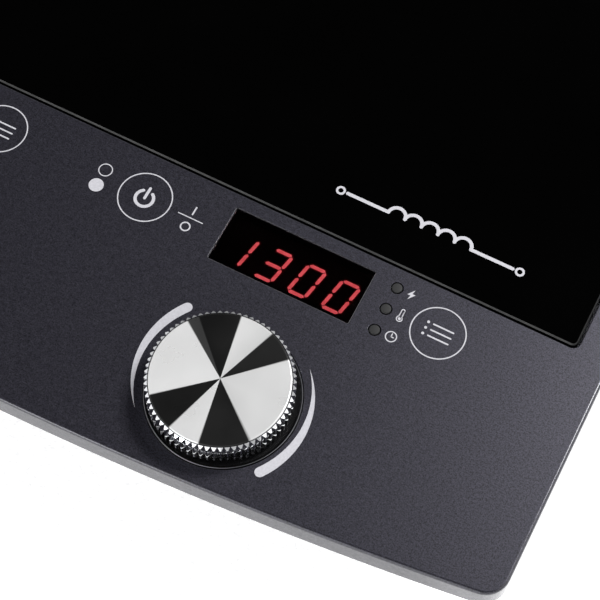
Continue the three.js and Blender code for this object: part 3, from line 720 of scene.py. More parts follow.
@dataclass(frozen=True)
class Lens(Finish):
    """A see-through moulding, tinted all through."""

    def dress(self, bench: Bench) -> None:
        """Lays out the nodes."""
        self.tone(bench, bench.noise(6))
        bench.set(transmission_weight=1.0, ior=1.49)
        bench.set(roughness=bench.fit(bench.noise(9), self.roughness, self.roughness * 2))


@dataclass(frozen=True)
class Glow(Finish):
    """A lit face, a little uneven across its length."""

    strength: float = 3.0

    def dress(self, bench: Bench) -> None:
        """Lays out the nodes."""
        super().dress(bench)
        dark, light = linear(self.colour, 0.8), linear(self.colour, 1.2)
        bench.set(emission_color=bench.ramp(bench.noise(1.6, 1), [(0.3, dark), (0.7, light)]))
        bench.set(emission_strength=self.strength)


@dataclass(frozen=True)
class Brushed(Finish):
    """Metal drawn or rolled along one axis."""

    along: Colour = (0.06, 1.0, 1.0)

    def dress(self, bench: Bench) -> None:
        """Lays out the nodes."""
        streak = bench.noise(self.grain, 4, bench.stretched(*self.along))
        self.tone(bench, streak)
        self.gloss(bench, 7)
        bench.relief(streak, self.depth)


@dataclass(frozen=True)
class Lathed(Finish):
    """Metal or plastic with fine turning marks about an upright axis."""

    x: float = 0.0
    y: float = 0.0
    pitch: float = 0.16

    def rings(self, bench: Bench, radius: Value) -> bpy.types.NodeSocket:
        """Draws the turning marks.

        Args:
            bench: The material's nodes.
            radius: Distance from the axis.

        Returns:
            The height of the marks from 0 to 1.
        """
        wobble = bench.math("MULTIPLY", bench.noise(3, 2), 1.5)
        turns = bench.math("MULTIPLY_ADD", radius, TAU / (self.pitch * MM), wobble)
        return bench.fit(bench.math("SINE", turns), 0, 1, -1, 1)

    def dress(self, bench: Bench) -> None:
        """Lays out the nodes."""
        radius, _ = bench.radius_and_angle(bench.centred(self.x, self.y))
        marks = self.rings(bench, radius)
        self.tone(bench, bench.math("MULTIPLY_ADD", marks, 0.3, bench.math("MULTIPLY", bench.noise(4), 0.7)))
        self.gloss(bench, 5)
        bench.relief(marks, self.depth)


@dataclass(frozen=True)
class PaintedReflectionFace(Lathed):
    """A turned face with light and dark sectors painted into its colour: painted reflections of spun metal,
    laid by angle about the axis.

    The reflection sectors are (start angle in degrees, painted brightness at the start, painted brightness at
    the end), in order.
    """

    reflection_sectors: tuple[tuple[float, float, float], ...] = ()

    def dress(self, bench: Bench) -> None:
        """Lays out the nodes."""
        radius, angle = bench.radius_and_angle(bench.centred(self.x, self.y))
        stops = []
        for (start, first, last), (stop, _, _) in zip(self.reflection_sectors, [*self.reflection_sectors[1:], (360, 0, 0)]):
            for place, level in ((start / 360 + 3e-4, first), (stop / 360 - 3e-4, last)):
                stops.append((place, linear(self.colour, level)))
        # Painted reflections: the sectors' light and dark go into the base colour and turn with the face.
        bench.set(base_color=bench.ramp(angle, stops))
        self.gloss(bench, 14)
        bench.relief(self.rings(bench, radius), self.depth)


@dataclass(frozen=True)
class Laminate(Finish):
    """Circuit board with tracks that show through the lacquer."""

    def dress(self, bench: Bench) -> None:
        """Lays out the nodes."""
        bricks = bench.node("TexBrick", {
            "Vector": bench.where, "Scale": 1 / (9 * MM), "Mortar Size": 0.035, "Mortar Smooth": 0.1,
            "Brick Width": 0.9, "Row Height": 0.21,
        }, offset=0.37)
        tracks = bricks.outputs["Fac"]
        cloud = bench.math("MULTIPLY", bench.noise(3), 0.35)
        self.tone(bench, bench.math("MULTIPLY_ADD", tracks, 0.45, cloud))
        self.gloss(bench, 8)
        bench.relief(tracks, self.depth)


@dataclass(frozen=True)
class Strand(Finish):
    """Lacquered wire, twisted from thin strands."""

    def dress(self, bench: Bench) -> None:
        """Lays out the nodes."""
        wave = bench.node("TexWave", {
            "Vector": bench.where, "Scale": 1 / (6 * MM), "Distortion": 2.0, "Detail": 2.0,
        }, bands_direction="DIAGONAL")
        self.tone(bench, wave.outputs["Fac"])
        self.gloss(bench, 3)
        bench.relief(wave.outputs["Fac"], self.depth)


PAINT = FlakePaint(
    "anthracite_paint", (45, 44, 53), 0.42, 0.6, grain=1.0, depth=0.014, mottle=0.65, flake=0.45, lacquer=0.8
)
GLASS = Polished("black_glass", (2, 2, 2), 0.03, uneven=0.5)
GROUND = Finish("ground_glass_edge", (13, 13, 14), 0.5, grain=0.3, depth=0.003)
INK = Finish("grey_print", (184, 183, 189), 0.55, grain=0.25, depth=0.002, mottle=0.05)
SILICONE = Finish("silicone_seal", (20, 20, 21), 0.75, grain=0.5, depth=0.01)
BASE = Finish("base_moulding", (24, 24, 26), 0.55, grain=0.9, depth=0.03)
RUBBER = Finish("foot_rubber", (17, 17, 18), 0.85, grain=0.5, depth=0.03)
GLAND = Finish("gland_rubber", (19, 19, 20), 0.7, grain=0.4, depth=0.02)
STEEL = Brushed("zinc_plated_steel", (178, 180, 184), 0.32, 1.0, grain=0.4, depth=0.004)
BOARD = Laminate("board_lacquer", (24, 84, 48), 0.35, grain=2, depth=0.02, mottle=0.35)
SOLDER = Finish("solder", (186, 188, 190), 0.3, 1.0, grain=0.3, depth=0.01)
CHIP = Finish("chip_resin", (26, 26, 28), 0.5, grain=0.3, depth=0.01)
CERAMIC = Finish("terminal_ceramic", (226, 221, 208), 0.45, grain=0.6, depth=0.01, mottle=0.05)
BRASS = Brushed("brass", (190, 156, 84), 0.35, 1.0, grain=0.4, depth=0.004)
FORMER = Finish("former_moulding", (30, 29, 30), 0.5, grain=0.9, depth=0.02)
FERRITE = Finish("ferrite", (52, 51, 54), 0.6, 0.2, grain=0.4, depth=0.02)
COPPER = Strand("lacquered_copper", (176, 98, 52), 0.32, 0.9, depth=0.05, mottle=0.3)
MICA = Finish("mica", (176, 162, 132), 0.5, grain=2.5, depth=0.01, mottle=0.25)
SENSOR = Finish("sensor_ceramic", (232, 229, 222), 0.4, grain=0.5, depth=0.01, mottle=0.05)
ALUMINIUM = Brushed(
    "extruded_aluminium", (190, 192, 196), 0.36, 1.0, grain=0.5, depth=0.006, along=(1, 0.06, 1)
)
FILM = Finish("capacitor_resin", (196, 152, 38), 0.35, grain=1.0, depth=0.01)
FAN = Finish("fan_moulding", (22, 22, 24), 0.42, grain=0.8, depth=0.015)
SMOKED = Lens("smoked_lens", (118, 98, 100), 0.02, mottle=0.05)
# Painted highlight: the lens bevel is painted light grey so that it shows as a bright line round the window;
# the bevel itself is real.
LENS_EDGE_HIGHLIGHT = Finish("lens_edge_painted_highlight", (96, 95, 99), 0.28, grain=0.3, depth=0.002)
MODULE = Finish("module_moulding", (14, 12, 13), 0.6, grain=0.4, depth=0.01)
LED = Glow("lit_segment", (255, 112, 118), 0.5, depth=0.002, strength=3.6)
# Painted glow: a faint red emitting sheet, wider than the figures, stands in for the light that spills round
# them.
HALO = Glow("painted_glow_sheet", (96, 6, 14), 0.6, depth=0.002, strength=0.5)
LAMP = Polished("lamp_lens", (17, 17, 18), 0.6, uneven=0.2)
FOAM = Finish("key_foam", (66, 66, 68), 0.9, grain=0.35, depth=0.08, mottle=0.3)
SWITCH = Finish("switch_moulding", (40, 40, 43), 0.5, grain=0.4, depth=0.01)
DISH = Polished("dish_moulding", (10, 10, 11), 0.16, uneven=0.5)
RIM = Brushed("bright_rim", (120, 120, 124), 0.34, 1.0, grain=0.3, depth=0.002)
CHROME = Brushed("bright_chrome", (226, 227, 230), 0.09, 1.0, grain=0.3, depth=0.001, mottle=0.03)
FLOOR = Glow("studio_floor", (240, 240, 241), 0.75, grain=3, depth=0.005, mottle=0.01, strength=0.75)


# ---- Studio
def bearing(azimuth: float, elevation: float) -> Vector:
    """Points from the object towards a place round it, from angles in degrees."""
    a, e = math.radians(azimuth), math.radians(elevation)
    return Vector((math.sin(a) * math.cos(e), -math.cos(a) * math.cos(e), math.sin(e)))


@dataclass
class Softbox:
    """A round area light that faces the object."""

    name: str
    azimuth: float
    elevation: float
    distance: float
    size: float
    power: float

    def build(self, target: Vector) -> None:
        """Hangs the light.

        Args:
            target: What it faces, in metres.
        """
        light = bpy.data.lights.new(self.name, "AREA")
        light.shape = "DISK"
        light.size = self.size
        light.energy = self.power
        lamp = bpy.data.objects.new(self.name, light)
        bpy.context.scene.collection.objects.link(lamp)
        out = bearing(self.azimuth, self.elevation)
        lamp.location = target + out * self.distance
        lamp.rotation_euler = out.to_track_quat("Z", "Y").to_euler()


@dataclass
class Studio:
    """Pale floor, soft light and the camera over the right-hand control set."""

    azimuth: float = 23.62
    elevation: float = 64.14
    roll: float = 3.75
    distance: float = 0.58128
    lens: float = 104.89
    sensor: float = 36
    clip: tuple[float, float] = (0.01, 50)
    aim_right: float = 8.33
    aim_front: float = 10.33
    floor_side: float = 6.0
    target: tuple[float, float, float] = (0, 0, 0.05)
    horizon: float = 1.3
    zenith: float = 0.003
    bright_side: tuple[float, float, float] = (-0.3, -0.95, 0)
    dim_share: float = 0.45
    side_fade: tuple[float, float] = (-0.2, 0.7)
    height_fade: tuple[float, float] = (0.5, 0.8)

    def build(self) -> None:
        """Builds all of it."""
        self.camera()
        self.world()
        for softbox in (
            Softbox("key_softbox", 136, 56, 1.6, 0.6, 26),
            Softbox("front_softbox", -6, 26, 1.8, 2.0, 9),
            Softbox("edge_softbox", -10, 24, 1.8, 0.45, 4),
            Softbox("right_softbox", 92, 34, 1.4, 1.2, 4),
        ):
            softbox.build(Vector(self.target))
        floor = Form()
        bmesh.ops.create_grid(floor.bm, x_segments=1, y_segments=1, size=self.floor_side / MM / 2)
        mesh = bpy.data.meshes.new("studio_floor")
        bmesh.ops.scale(floor.bm, vec=(MM, MM, MM), verts=floor.bm.verts)
        floor.bm.to_mesh(mesh)
        mesh.materials.append(FLOOR.material())
        plane = bpy.data.objects.new("studio_floor", mesh)
        bpy.context.scene.collection.objects.link(plane)

    def camera(self) -> None:
        """Sets the camera over the right-hand display."""
        data = bpy.data.cameras.new("camera")
        data.lens = self.lens
        data.sensor_width = self.sensor
        data.clip_start, data.clip_end = self.clip
        display = span("display_window_right")
        aim = Vector((display.mid.x + self.aim_right, display.mid.y - self.aim_front, display.high.z)) * MM
        a, tilt = math.radians(self.azimuth), math.radians(self.roll)
        back = bearing(self.azimuth, self.elevation)
        right = Vector((math.cos(a), math.sin(a), 0))
        up = back.cross(right)
        side = right * math.cos(tilt) + up * math.sin(tilt)
        top = up * math.cos(tilt) - right * math.sin(tilt)
        turn = Matrix((side, top, back)).transposed().to_4x4()
        camera = bpy.data.objects.new("camera", data)
        camera.matrix_world = Matrix.Translation(aim + back * self.distance) @ turn
        bpy.context.scene.collection.objects.link(camera)
        bpy.context.scene.camera = camera

    def world(self) -> None:
        """Lights the room from its horizon, most from the front left, and leaves it dark overhead."""
        world = bpy.data.worlds.new("studio")
        bpy.context.scene.world = world
        bpy.context.scene.view_settings.view_transform = "Standard"
        sky = Bench(world, "Background", "Generated")
        height = sky.node("SeparateXYZ", {"Vector": sky.where}).outputs["Z"]
        towards = sky.node("VectorMath", {0: sky.where, 1: self.bright_side}, operation="DOT_PRODUCT")
        share = sky.fit(towards.outputs["Value"], self.dim_share, 1, *self.side_fade)
        low, high = self.height_fade
        stops = [(low, WHITE), (high, (self.zenith,) * 3 + (1,))]
        sky.set(color=sky.ramp(height, stops), strength=sky.math("MULTIPLY", share, self.horizon))


# ---- Housing
@dataclass
class Plan:
    """The body's outline: straight sides and back, a bowed front and round corners."""

    bow_radius: float = 1400
    corner_radius: float = 9
    bow_steps: int = 40
    corner_steps: int = 8

    def __post_init__(self) -> None:
        """Reads the width and depth from the frame."""
        self.body = span("top_housing")

    def outline(self, inset: float, corner: float | None = None) -> list[Point]:
        """The outline, pulled in.

        Args:
            inset: How far it pulls in.
            corner: Corner radius, by default the outer one less the inset.

        Returns:
            The outline, anticlockwise.
        """
        radius = max(self.corner_radius - inset if corner is None else corner, 0.8)
        front, rear = self.body.low.y, self.body.high.y - inset - radius
        bow, centre = self.bow_radius - inset, front + self.bow_radius
        x = self.body.size.x / 2 - inset - radius
        y = centre - math.sqrt((bow - radius) ** 2 - x**2)
        swing = math.degrees(math.asin(x / (bow - radius)))
        steps = self.corner_steps
        return [
            *arc(0, centre, bow, -90 - swing, -90 + swing, self.bow_steps),
            *arc(x, y, radius, -90 + swing, 0, steps)[1:],
            *arc(x, rear, radius, 0, 90, steps),
            *arc(-x, rear, radius, 90, 180, steps),
            *arc(-x, y, radius, 180, 270 - swing, steps)[:-1],
        ]


def screw_places() -> list[Vector]:
    """Finds the middle of each of the four housing screws."""
    return [span(f"housing_screw_{i}").mid for i in range(1, 5)]


@dataclass
class TopHousing:
    """Painted panel with its lip, the border round the glass and the ledge under it."""

    plan: Plan
    lip_height: float = 9
    lip_draft: float = 0.3
    edge_radius: float = 1.2
    wall: float = 2.5
    thickness: float = 3
    gap: float = 0.8
    glass_corner: float = 2
    ledge_width: float = 8
    ledge_thickness: float = 1.8
    ledge_wall: float = 2.5
    glass_mouth: float = 0.4
    lens_mouth: float = 0.15
    well_mouth: float = 0.2
    lamp_mouth: float = 0.08
    lamp_play: float = 0.05
    well_depth: float = 1.6
    lens_ledge: float = 1.9
    bush_bore: float = 4.8
    boss_radius: float = 4.5
    screw_bore: float = 2.1
    screw_grip: float = 20
    screw_stand: float = 6.3
    post_radius: float = 3.5
    post_inset: Point = (8, 42)

    def __post_init__(self) -> None:
        """Reads the heights from the frame."""
        self.body = span("top_housing")
        self.top = self.body.high.z
        self.underside = self.top - self.thickness
        self.glass = span("glass_plate")
        self.ledge_top = span("glass_seal").low.z - FIT
        self.ledge_bottom = self.ledge_top - self.ledge_thickness

    def opening(self, inset: float) -> list[Point]:
        """The outline of the glass opening, pulled in.

        Args:
            inset: How far it pulls in.

        Returns:
            The outline, anticlockwise.
        """
        low, high = self.glass.low, self.glass.high
        out = self.gap - inset
        radius = max(self.glass_corner + out, 0.5)
        return round_box((low.x - out, low.y - out), (high.x + out, high.y + out), radius)

    def mouth_cut(self, outline: list[Point], bottom: float, flare: float) -> Form:
        """A cutter from a height up through the panel, with a rounded mouth.

        Args:
            outline: The hole's outline.
            bottom: Height of its floor.
            flare: Radius of its mouth.

        Returns:
            The cutter.
        """
        rise = self.top - flare - bottom
        return Form.prism(outline, bottom, (rise, 0), *rounding(flare, 4, flare=True), (1, 0))

    def console_cuts(self, side: str) -> list[Form]:
        """The cutters for one control set's window, well, bush and lamps.

        Args:
            side: Side of the control set.

        Returns:
            The cutters.
        """
        lens, dish = span(f"display_window_{side}"), span(f"knob_bezel_{side}").mid
        bush = span(f"encoder_body_{side}")
        wide, deep = lens.size.x + 2 * FIT, lens.size.y + 2 * FIT
        below, ledge = self.underside - 1, 2 * self.lens_ledge
        cuts = [
            self.mouth_cut(around(lens.mid, wide, deep, 0.7), lens.low.z - FIT, self.lens_mouth),
            Form.prism(around(lens.mid, wide - ledge, deep - ledge), below, (3.4, 0)),
            Form.rod(self.bush_bore, below, self.top).at(bush.mid.x, bush.mid.y),
        ]
        well = span(f"knob_bezel_{side}").size.x / 2 + FIT
        cuts.append(self.mouth_cut(circle(dish, well, 96), self.top - self.well_depth, self.well_mouth))
        for lamp in LAMPS:
            spot = span(f"indicator_{lamp}_{side}")
            hole = spot.size.x / 2 + FIT + self.lamp_play
            cuts.append(self.mouth_cut(circle(spot.mid, hole, 48), below, self.lamp_mouth))
        return cuts

    def build(self) -> None:
        """Models the housing."""
        low = self.top - self.lip_height
        straight = self.lip_height - self.edge_radius
        shell = Form.prism(
            self.plan.outline(0), low, (straight, self.lip_draft), *rounding(self.edge_radius, 6)
        )
        inside = self.plan.outline(self.wall, self.plan.corner_radius - self.wall)
        shell.cut(Form.prism(inside, low - 1, (self.underside - low + 1, self.lip_draft)))
        rise = self.underside + 1 - self.ledge_bottom
        shell.join(Form.prism(self.opening(-self.ledge_wall), self.ledge_bottom, (rise, 0)))
        cuts = [
            Form.prism(self.opening(self.ledge_width), self.ledge_bottom - 1, (9, 0)),
            self.mouth_cut(self.opening(0), self.ledge_top, self.glass_mouth),
        ]
        for side in SIDES:
            cuts += self.console_cuts(side)
        shell.cut(*cuts)
        self.bosses(shell)
        shell.piece("top_housing_shell", PAINT, "anthracite_paint", ["top_housing"], crease=24)

    def bosses(self, shell: Form) -> None:
        """Hangs the screw bosses and board posts under the shell.

        Args:
            shell: The shell, which they are joined to.
        """
        bosses, bores = [], []
        board = span("control_board")
        foot = span("housing_screw_1").low.z + self.screw_stand
        for spot in screw_places():
            out = math.copysign(1, spot.x)
            inner, outer = abs(spot.x) - self.boss_radius, self.glass.high.x + self.gap + FIT
            corners = sorted((out * inner, out * outer))
            deep = self.boss_radius + 2
            tab = Form.block(
                (corners[0], spot.y - deep, self.ledge_bottom), (corners[1], spot.y + deep, self.ledge_top)
            )
            bosses += [tab, Form.rod(self.boss_radius, foot, self.ledge_top).at(spot.x, spot.y)]
            bores.append(Form.rod(self.screw_bore, foot - 1, foot + self.screw_grip, 24).at(spot.x, spot.y))
        for step in (-1, 0, 1):
            x = board.mid.x + step * (board.size.x / 2 - self.post_inset[0])
            post = Form.rod(self.post_radius, board.high.z + FIT, self.underside + 1, 24)
            bosses.append(post.at(x, board.high.y - self.post_inset[1]))
        shell.join(*bosses).cut(*bores)


@dataclass
class GlassTop:
    """Black glass with its ground edge, and the seal under its rim."""

    chamfer: float = 0.5
    corner: float = 2

    def build(self) -> None:
        """Models the plate and dresses the seal."""
        plate = span("glass_plate")
        outline = round_box(plate.low.xy, plate.high.xy, self.corner, 10)
        side = plate.size.z - self.chamfer
        slope = (self.chamfer - 0.06, self.chamfer - 0.1)
        glass = Form.prism(outline, plate.low.z, (side - 0.1, 0), (0.1, 0.03), slope, (0.06, 0.07))
        glass.paint_where(1, slanted)
        glass.piece("glass_top", [GLASS, GROUND], "black_glass", ["glass_plate"])
        dress_node("glass_seal", SILICONE)


def dress_node(node: str, finish: Finish) -> None:
    """Gives a carried-over frame node its finish.

    Args:
        node: The node's name.
        finish: The finish.
    """
    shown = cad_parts[node]
    shown.data.materials.clear()
    shown.data.materials.append(finish.material())
    LOG.info("%s: dressed", node)


@dataclass
class BaseTray:
    """Moulded tray with its vents, posts, feet and screws."""

    plan: Plan
    inset_top: float = 9
    inset_bottom: float = 24
    chamfer: float = 3
    wall: float = 2.5
    floor: float = 2.5
    corner: float = 14
    flange: float = 1.5
    post_angles: tuple[float, ...] = (60, 130, 230, 300)
    post_circle: float = 78
    post_radius: float = 4
    vent_pitch: float = 10
    vent_width: float = 4
    exhausts: int = 12
    exhaust_pitch: float = 16
    exhaust_start: float = -60
    flange_inset: float = 4
    stud_radius: float = 3.5
    thread_pitch: float = 0.9

    def __post_init__(self) -> None:
        """Reads the heights from the frame."""
        self.body = span("bottom_housing")
        self.floor_top = self.body.low.z + self.floor
        self.flange_bottom = self.body.high.z - self.flange

    def inset(self, z: float) -> float:
        """How far the outer face is inside the body's plan at a height.

        Args:
            z: The height.

        Returns:
            The inset.
        """
        low = self.body.low.z + self.chamfer
        share = (z - low) / (self.flange_bottom - low)
        return self.inset_bottom + (self.inset_top - self.inset_bottom) * share

    def shell(self) -> Form:
        """The tray with its flange, before posts and cuts.

        Returns:
            The tray.
        """
        low, top = self.body.low.z, self.body.high.z
        under = self.inset_bottom + self.chamfer
        lean = self.inset(low + self.chamfer) - self.inset(top)
        outer = Form.prism(
            self.plan.outline(under, self.corner), low,
            (self.chamfer, -self.chamfer), (top - low - self.chamfer, -lean),
        )
        flange = Form.prism(self.plan.outline(self.flange_inset), self.flange_bottom, (self.flange, 0))
        start = self.inset(self.floor_top) + self.wall
        inner = Form.prism(
            self.plan.outline(start, self.corner - self.wall), self.floor_top,
            (top + 1 - self.floor_top, self.inset(top + 1) - self.inset(self.floor_top)),
        )
        return outer.join(flange).cut(inner)

    def build(self) -> None:
        """Models the tray and everything screwed or pushed into it."""
        tray = self.shell()
        posts, cuts = [], []
        low, top = self.body.low.z, self.floor_top
        head = span("housing_screw_1").low.z
        for zone in ZONES:
            middle = span(f"coil_former_{zone}")
            fan, board = span(f"fan_frame_{zone}"), span(f"power_board_{zone}")
            for degrees in self.post_angles:
                x, y = arc(middle.mid.x, middle.mid.y, self.post_circle, degrees, degrees, 1)[0]
                posts.append(Form.rod(self.post_radius, top - 1, middle.low.z - FIT, 24).at(x, y))
            for part, inset in ((board, 6), (fan, 4.5)):
                for x in (part.low.x + inset, part.high.x - inset):
                    for y in (part.low.y + inset, part.high.y - inset):
                        posts.append(Form.rod(self.stud_radius, top - 1, part.low.z - FIT, 20).at(x, y))
            cuts += self.intake(fan)
        for spot in screw_places():
            posts.append(Form.rod(6.5, top - 1, head + 6).at(spot.x, spot.y))
            cuts.append(Form.rod(4.0, low - 1, head + 3.3).at(spot.x, spot.y))
            cuts.append(Form.rod(2.1, low - 1, head + 8, 24).at(spot.x, spot.y))
        for corner in CORNERS:
            spot = span(f"foot_{corner}").mid
            cuts.append(Form.rod(4.0, low - 1, top + 1).at(spot.x, spot.y))
        gland = span("cord_gland")
        hole = Form.rod(7.3, -20, 20).turn(90, "X")
        cuts.append(hole.at(gland.mid.x, self.body.high.y - 16, gland.mid.z))
        cuts += self.exhaust(gland.mid.z)
        tray.join(*posts).cut(*cuts)
        tray.piece("base_tray", BASE, "base_plastic", ["bottom_housing"], crease=26)
        self.feet()
        self.screws()

    def intake(self, fan: Span) -> list[Form]:
        """The round-ended slots under a fan.

        Args:
            fan: The fan's box.

        Returns:
            The cutters.
        """
        bore = fan.size.x / 2 - 4
        slots, wide = [], self.vent_width
        for i in range(-3, 4):
            y = i * self.vent_pitch
            half = math.sqrt(bore**2 - y**2)
            outline = around((fan.mid.x, fan.mid.y + y), 2 * half, wide, wide / 2 - 0.01, 6)
            slots.append(Form.prism(outline, self.body.low.z - 1, (self.floor + 2, 0)))
        return slots

    def exhaust(self, height: float) -> list[Form]:
        """The round-ended slots through the rear wall.

        Args:
            height: Height of the cord's axis.

        Returns:
            The cutters.
        """
        rear = span("top_housing").high.y - self.inset(height) - self.wall / 2
        slots = []
        for i in range(self.exhausts):
            slot = Form.prism(around((0, 0), 7, 18, 3.4, 6), -10, (20, 0)).turn(90, "X")
            slots.append(slot.at(self.exhaust_start + i * self.exhaust_pitch, rear, height + 1))
        return slots

    def feet(self) -> None:
        """Models the four feet, with a ribbed sole."""
        for corner in CORNERS:
            foot = span(f"foot_{corner}")
            radius, high = foot.size.x / 2, self.body.low.z - FIT
            profile = [
                (0, 0.6), (radius * 0.45, 0.6), (radius * 0.5, 0), (radius * 0.66, 0), (radius * 0.7, 0.5),
                (radius * 0.78, 0.5), (radius * 0.82, 0), (radius - 1.2, 0), (radius - 0.35, 0.35),
                (radius, 1.2), (radius - 0.8, high - 0.4), (radius - 1.2, high), (3.7, high),
                (3.7, foot.high.z - 0.8), (3.0, foot.high.z), (0, foot.high.z),
            ]
            form = Form.turned(profile, 64).at(foot.mid.x, foot.mid.y)
            form.piece(f"rubber_foot_{corner}", RUBBER, "foot_rubber", [f"foot_{corner}"])

    def screws(self) -> None:
        """Models the four housing screws with a cross recess and a thread."""
        for i, spot in enumerate(screw_places(), 1):
            box = span(f"housing_screw_{i}")
            low, seat, high = box.low.z, box.low.z + 3, box.high.z
            profile = [(0, low), (2.6, low), (3.3, low + 0.3), (3.7, low + 1.1), (3.7, seat), (1.5, seat)]
            turns = int((high - seat - 3) / self.thread_pitch)
            profile += thread(seat + 1, self.thread_pitch, turns, (1.45, 1.78), self.thread_pitch / 2)
            profile += [(1.45, high - 2), (0, high)]
            form = Form.turned(profile, 32)
            cross = [Form.block((-x, -y, low - 1), (x, y, low + 1.4)) for x, y in ((2, 0.4), (0.4, 2))]
            form.cut(*cross).at(spot.x, spot.y)
            form.piece(f"machine_screw_{i}", STEEL, "screw_steel", [f"housing_screw_{i}"])


@dataclass
class MainsInlet:
    """Gland in the rear wall and the terminal block behind it."""

    bore: float = 4
    barb: float = 6
    poles: tuple[float, ...] = (-11, 0, 11)
    screws: tuple[float, ...] = (-4.5, 4.5)

    def build(self) -> None:
        """Models both pieces."""
        self.gland()
        self.terminals()

    def gland(self) -> None:
        """The rubber bush with a groove for the wall and barbs that keep it there."""
        gland = span("cord_gland")
        length, radius = gland.size.y, gland.size.x / 2
        end = length - self.barb
        profile = [(self.bore, 0), (7, 0), (7, 8), (radius, 8), (radius, 10), (7, 10), (7, end)]
        profile += [(radius, end), (radius, end + 2.4), (radius - 0.6, end + 3)]
        for z in (length - 2.7, length - 1.5):
            profile += [(8.3, z - 0.2), (7.6, z), (7.6, z + 0.5), (8.0, z + 0.7)]
        profile += [(7.2, length), (self.bore + 0.5, length), (self.bore, length - 0.5)]
        form = Form.turned(profile, 48, ring=True).turn(-90, "X")
        form.at(gland.mid.x, gland.low.y, gland.mid.z)
        form.piece("rubber_gland", GLAND, "gland_rubber", ["cord_gland"])

    def terminals(self) -> None:
        """The ceramic block with a wire mouth and two screws for each pole."""
        block = span("terminal_block")
        top = block.high.z
        body = Form.block(block.low, block.high).ease(0.8, 2)
        mouths, heads = [], []
        for x in self.poles:
            low = (block.mid.x + x - 3.5, block.low.y - 1, block.low.z + 5)
            mouths.append(Form.block(low, (low[0] + 7, block.high.y + 1, low[2] + 6)))
            for y in self.screws:
                spot = (block.mid.x + x, block.mid.y + y)
                mouths.append(Form.rod(2.2, top - 2, top + 1, 20).at(*spot))
                heads.append(Form.rod(1.9, top - 1.9, top - 0.9, 16).paint(1).at(*spot))
        body.cut(*mouths)
        body.add(*heads).piece("terminals", [CERAMIC, BRASS], "terminal_ceramic", ["terminal_block"])


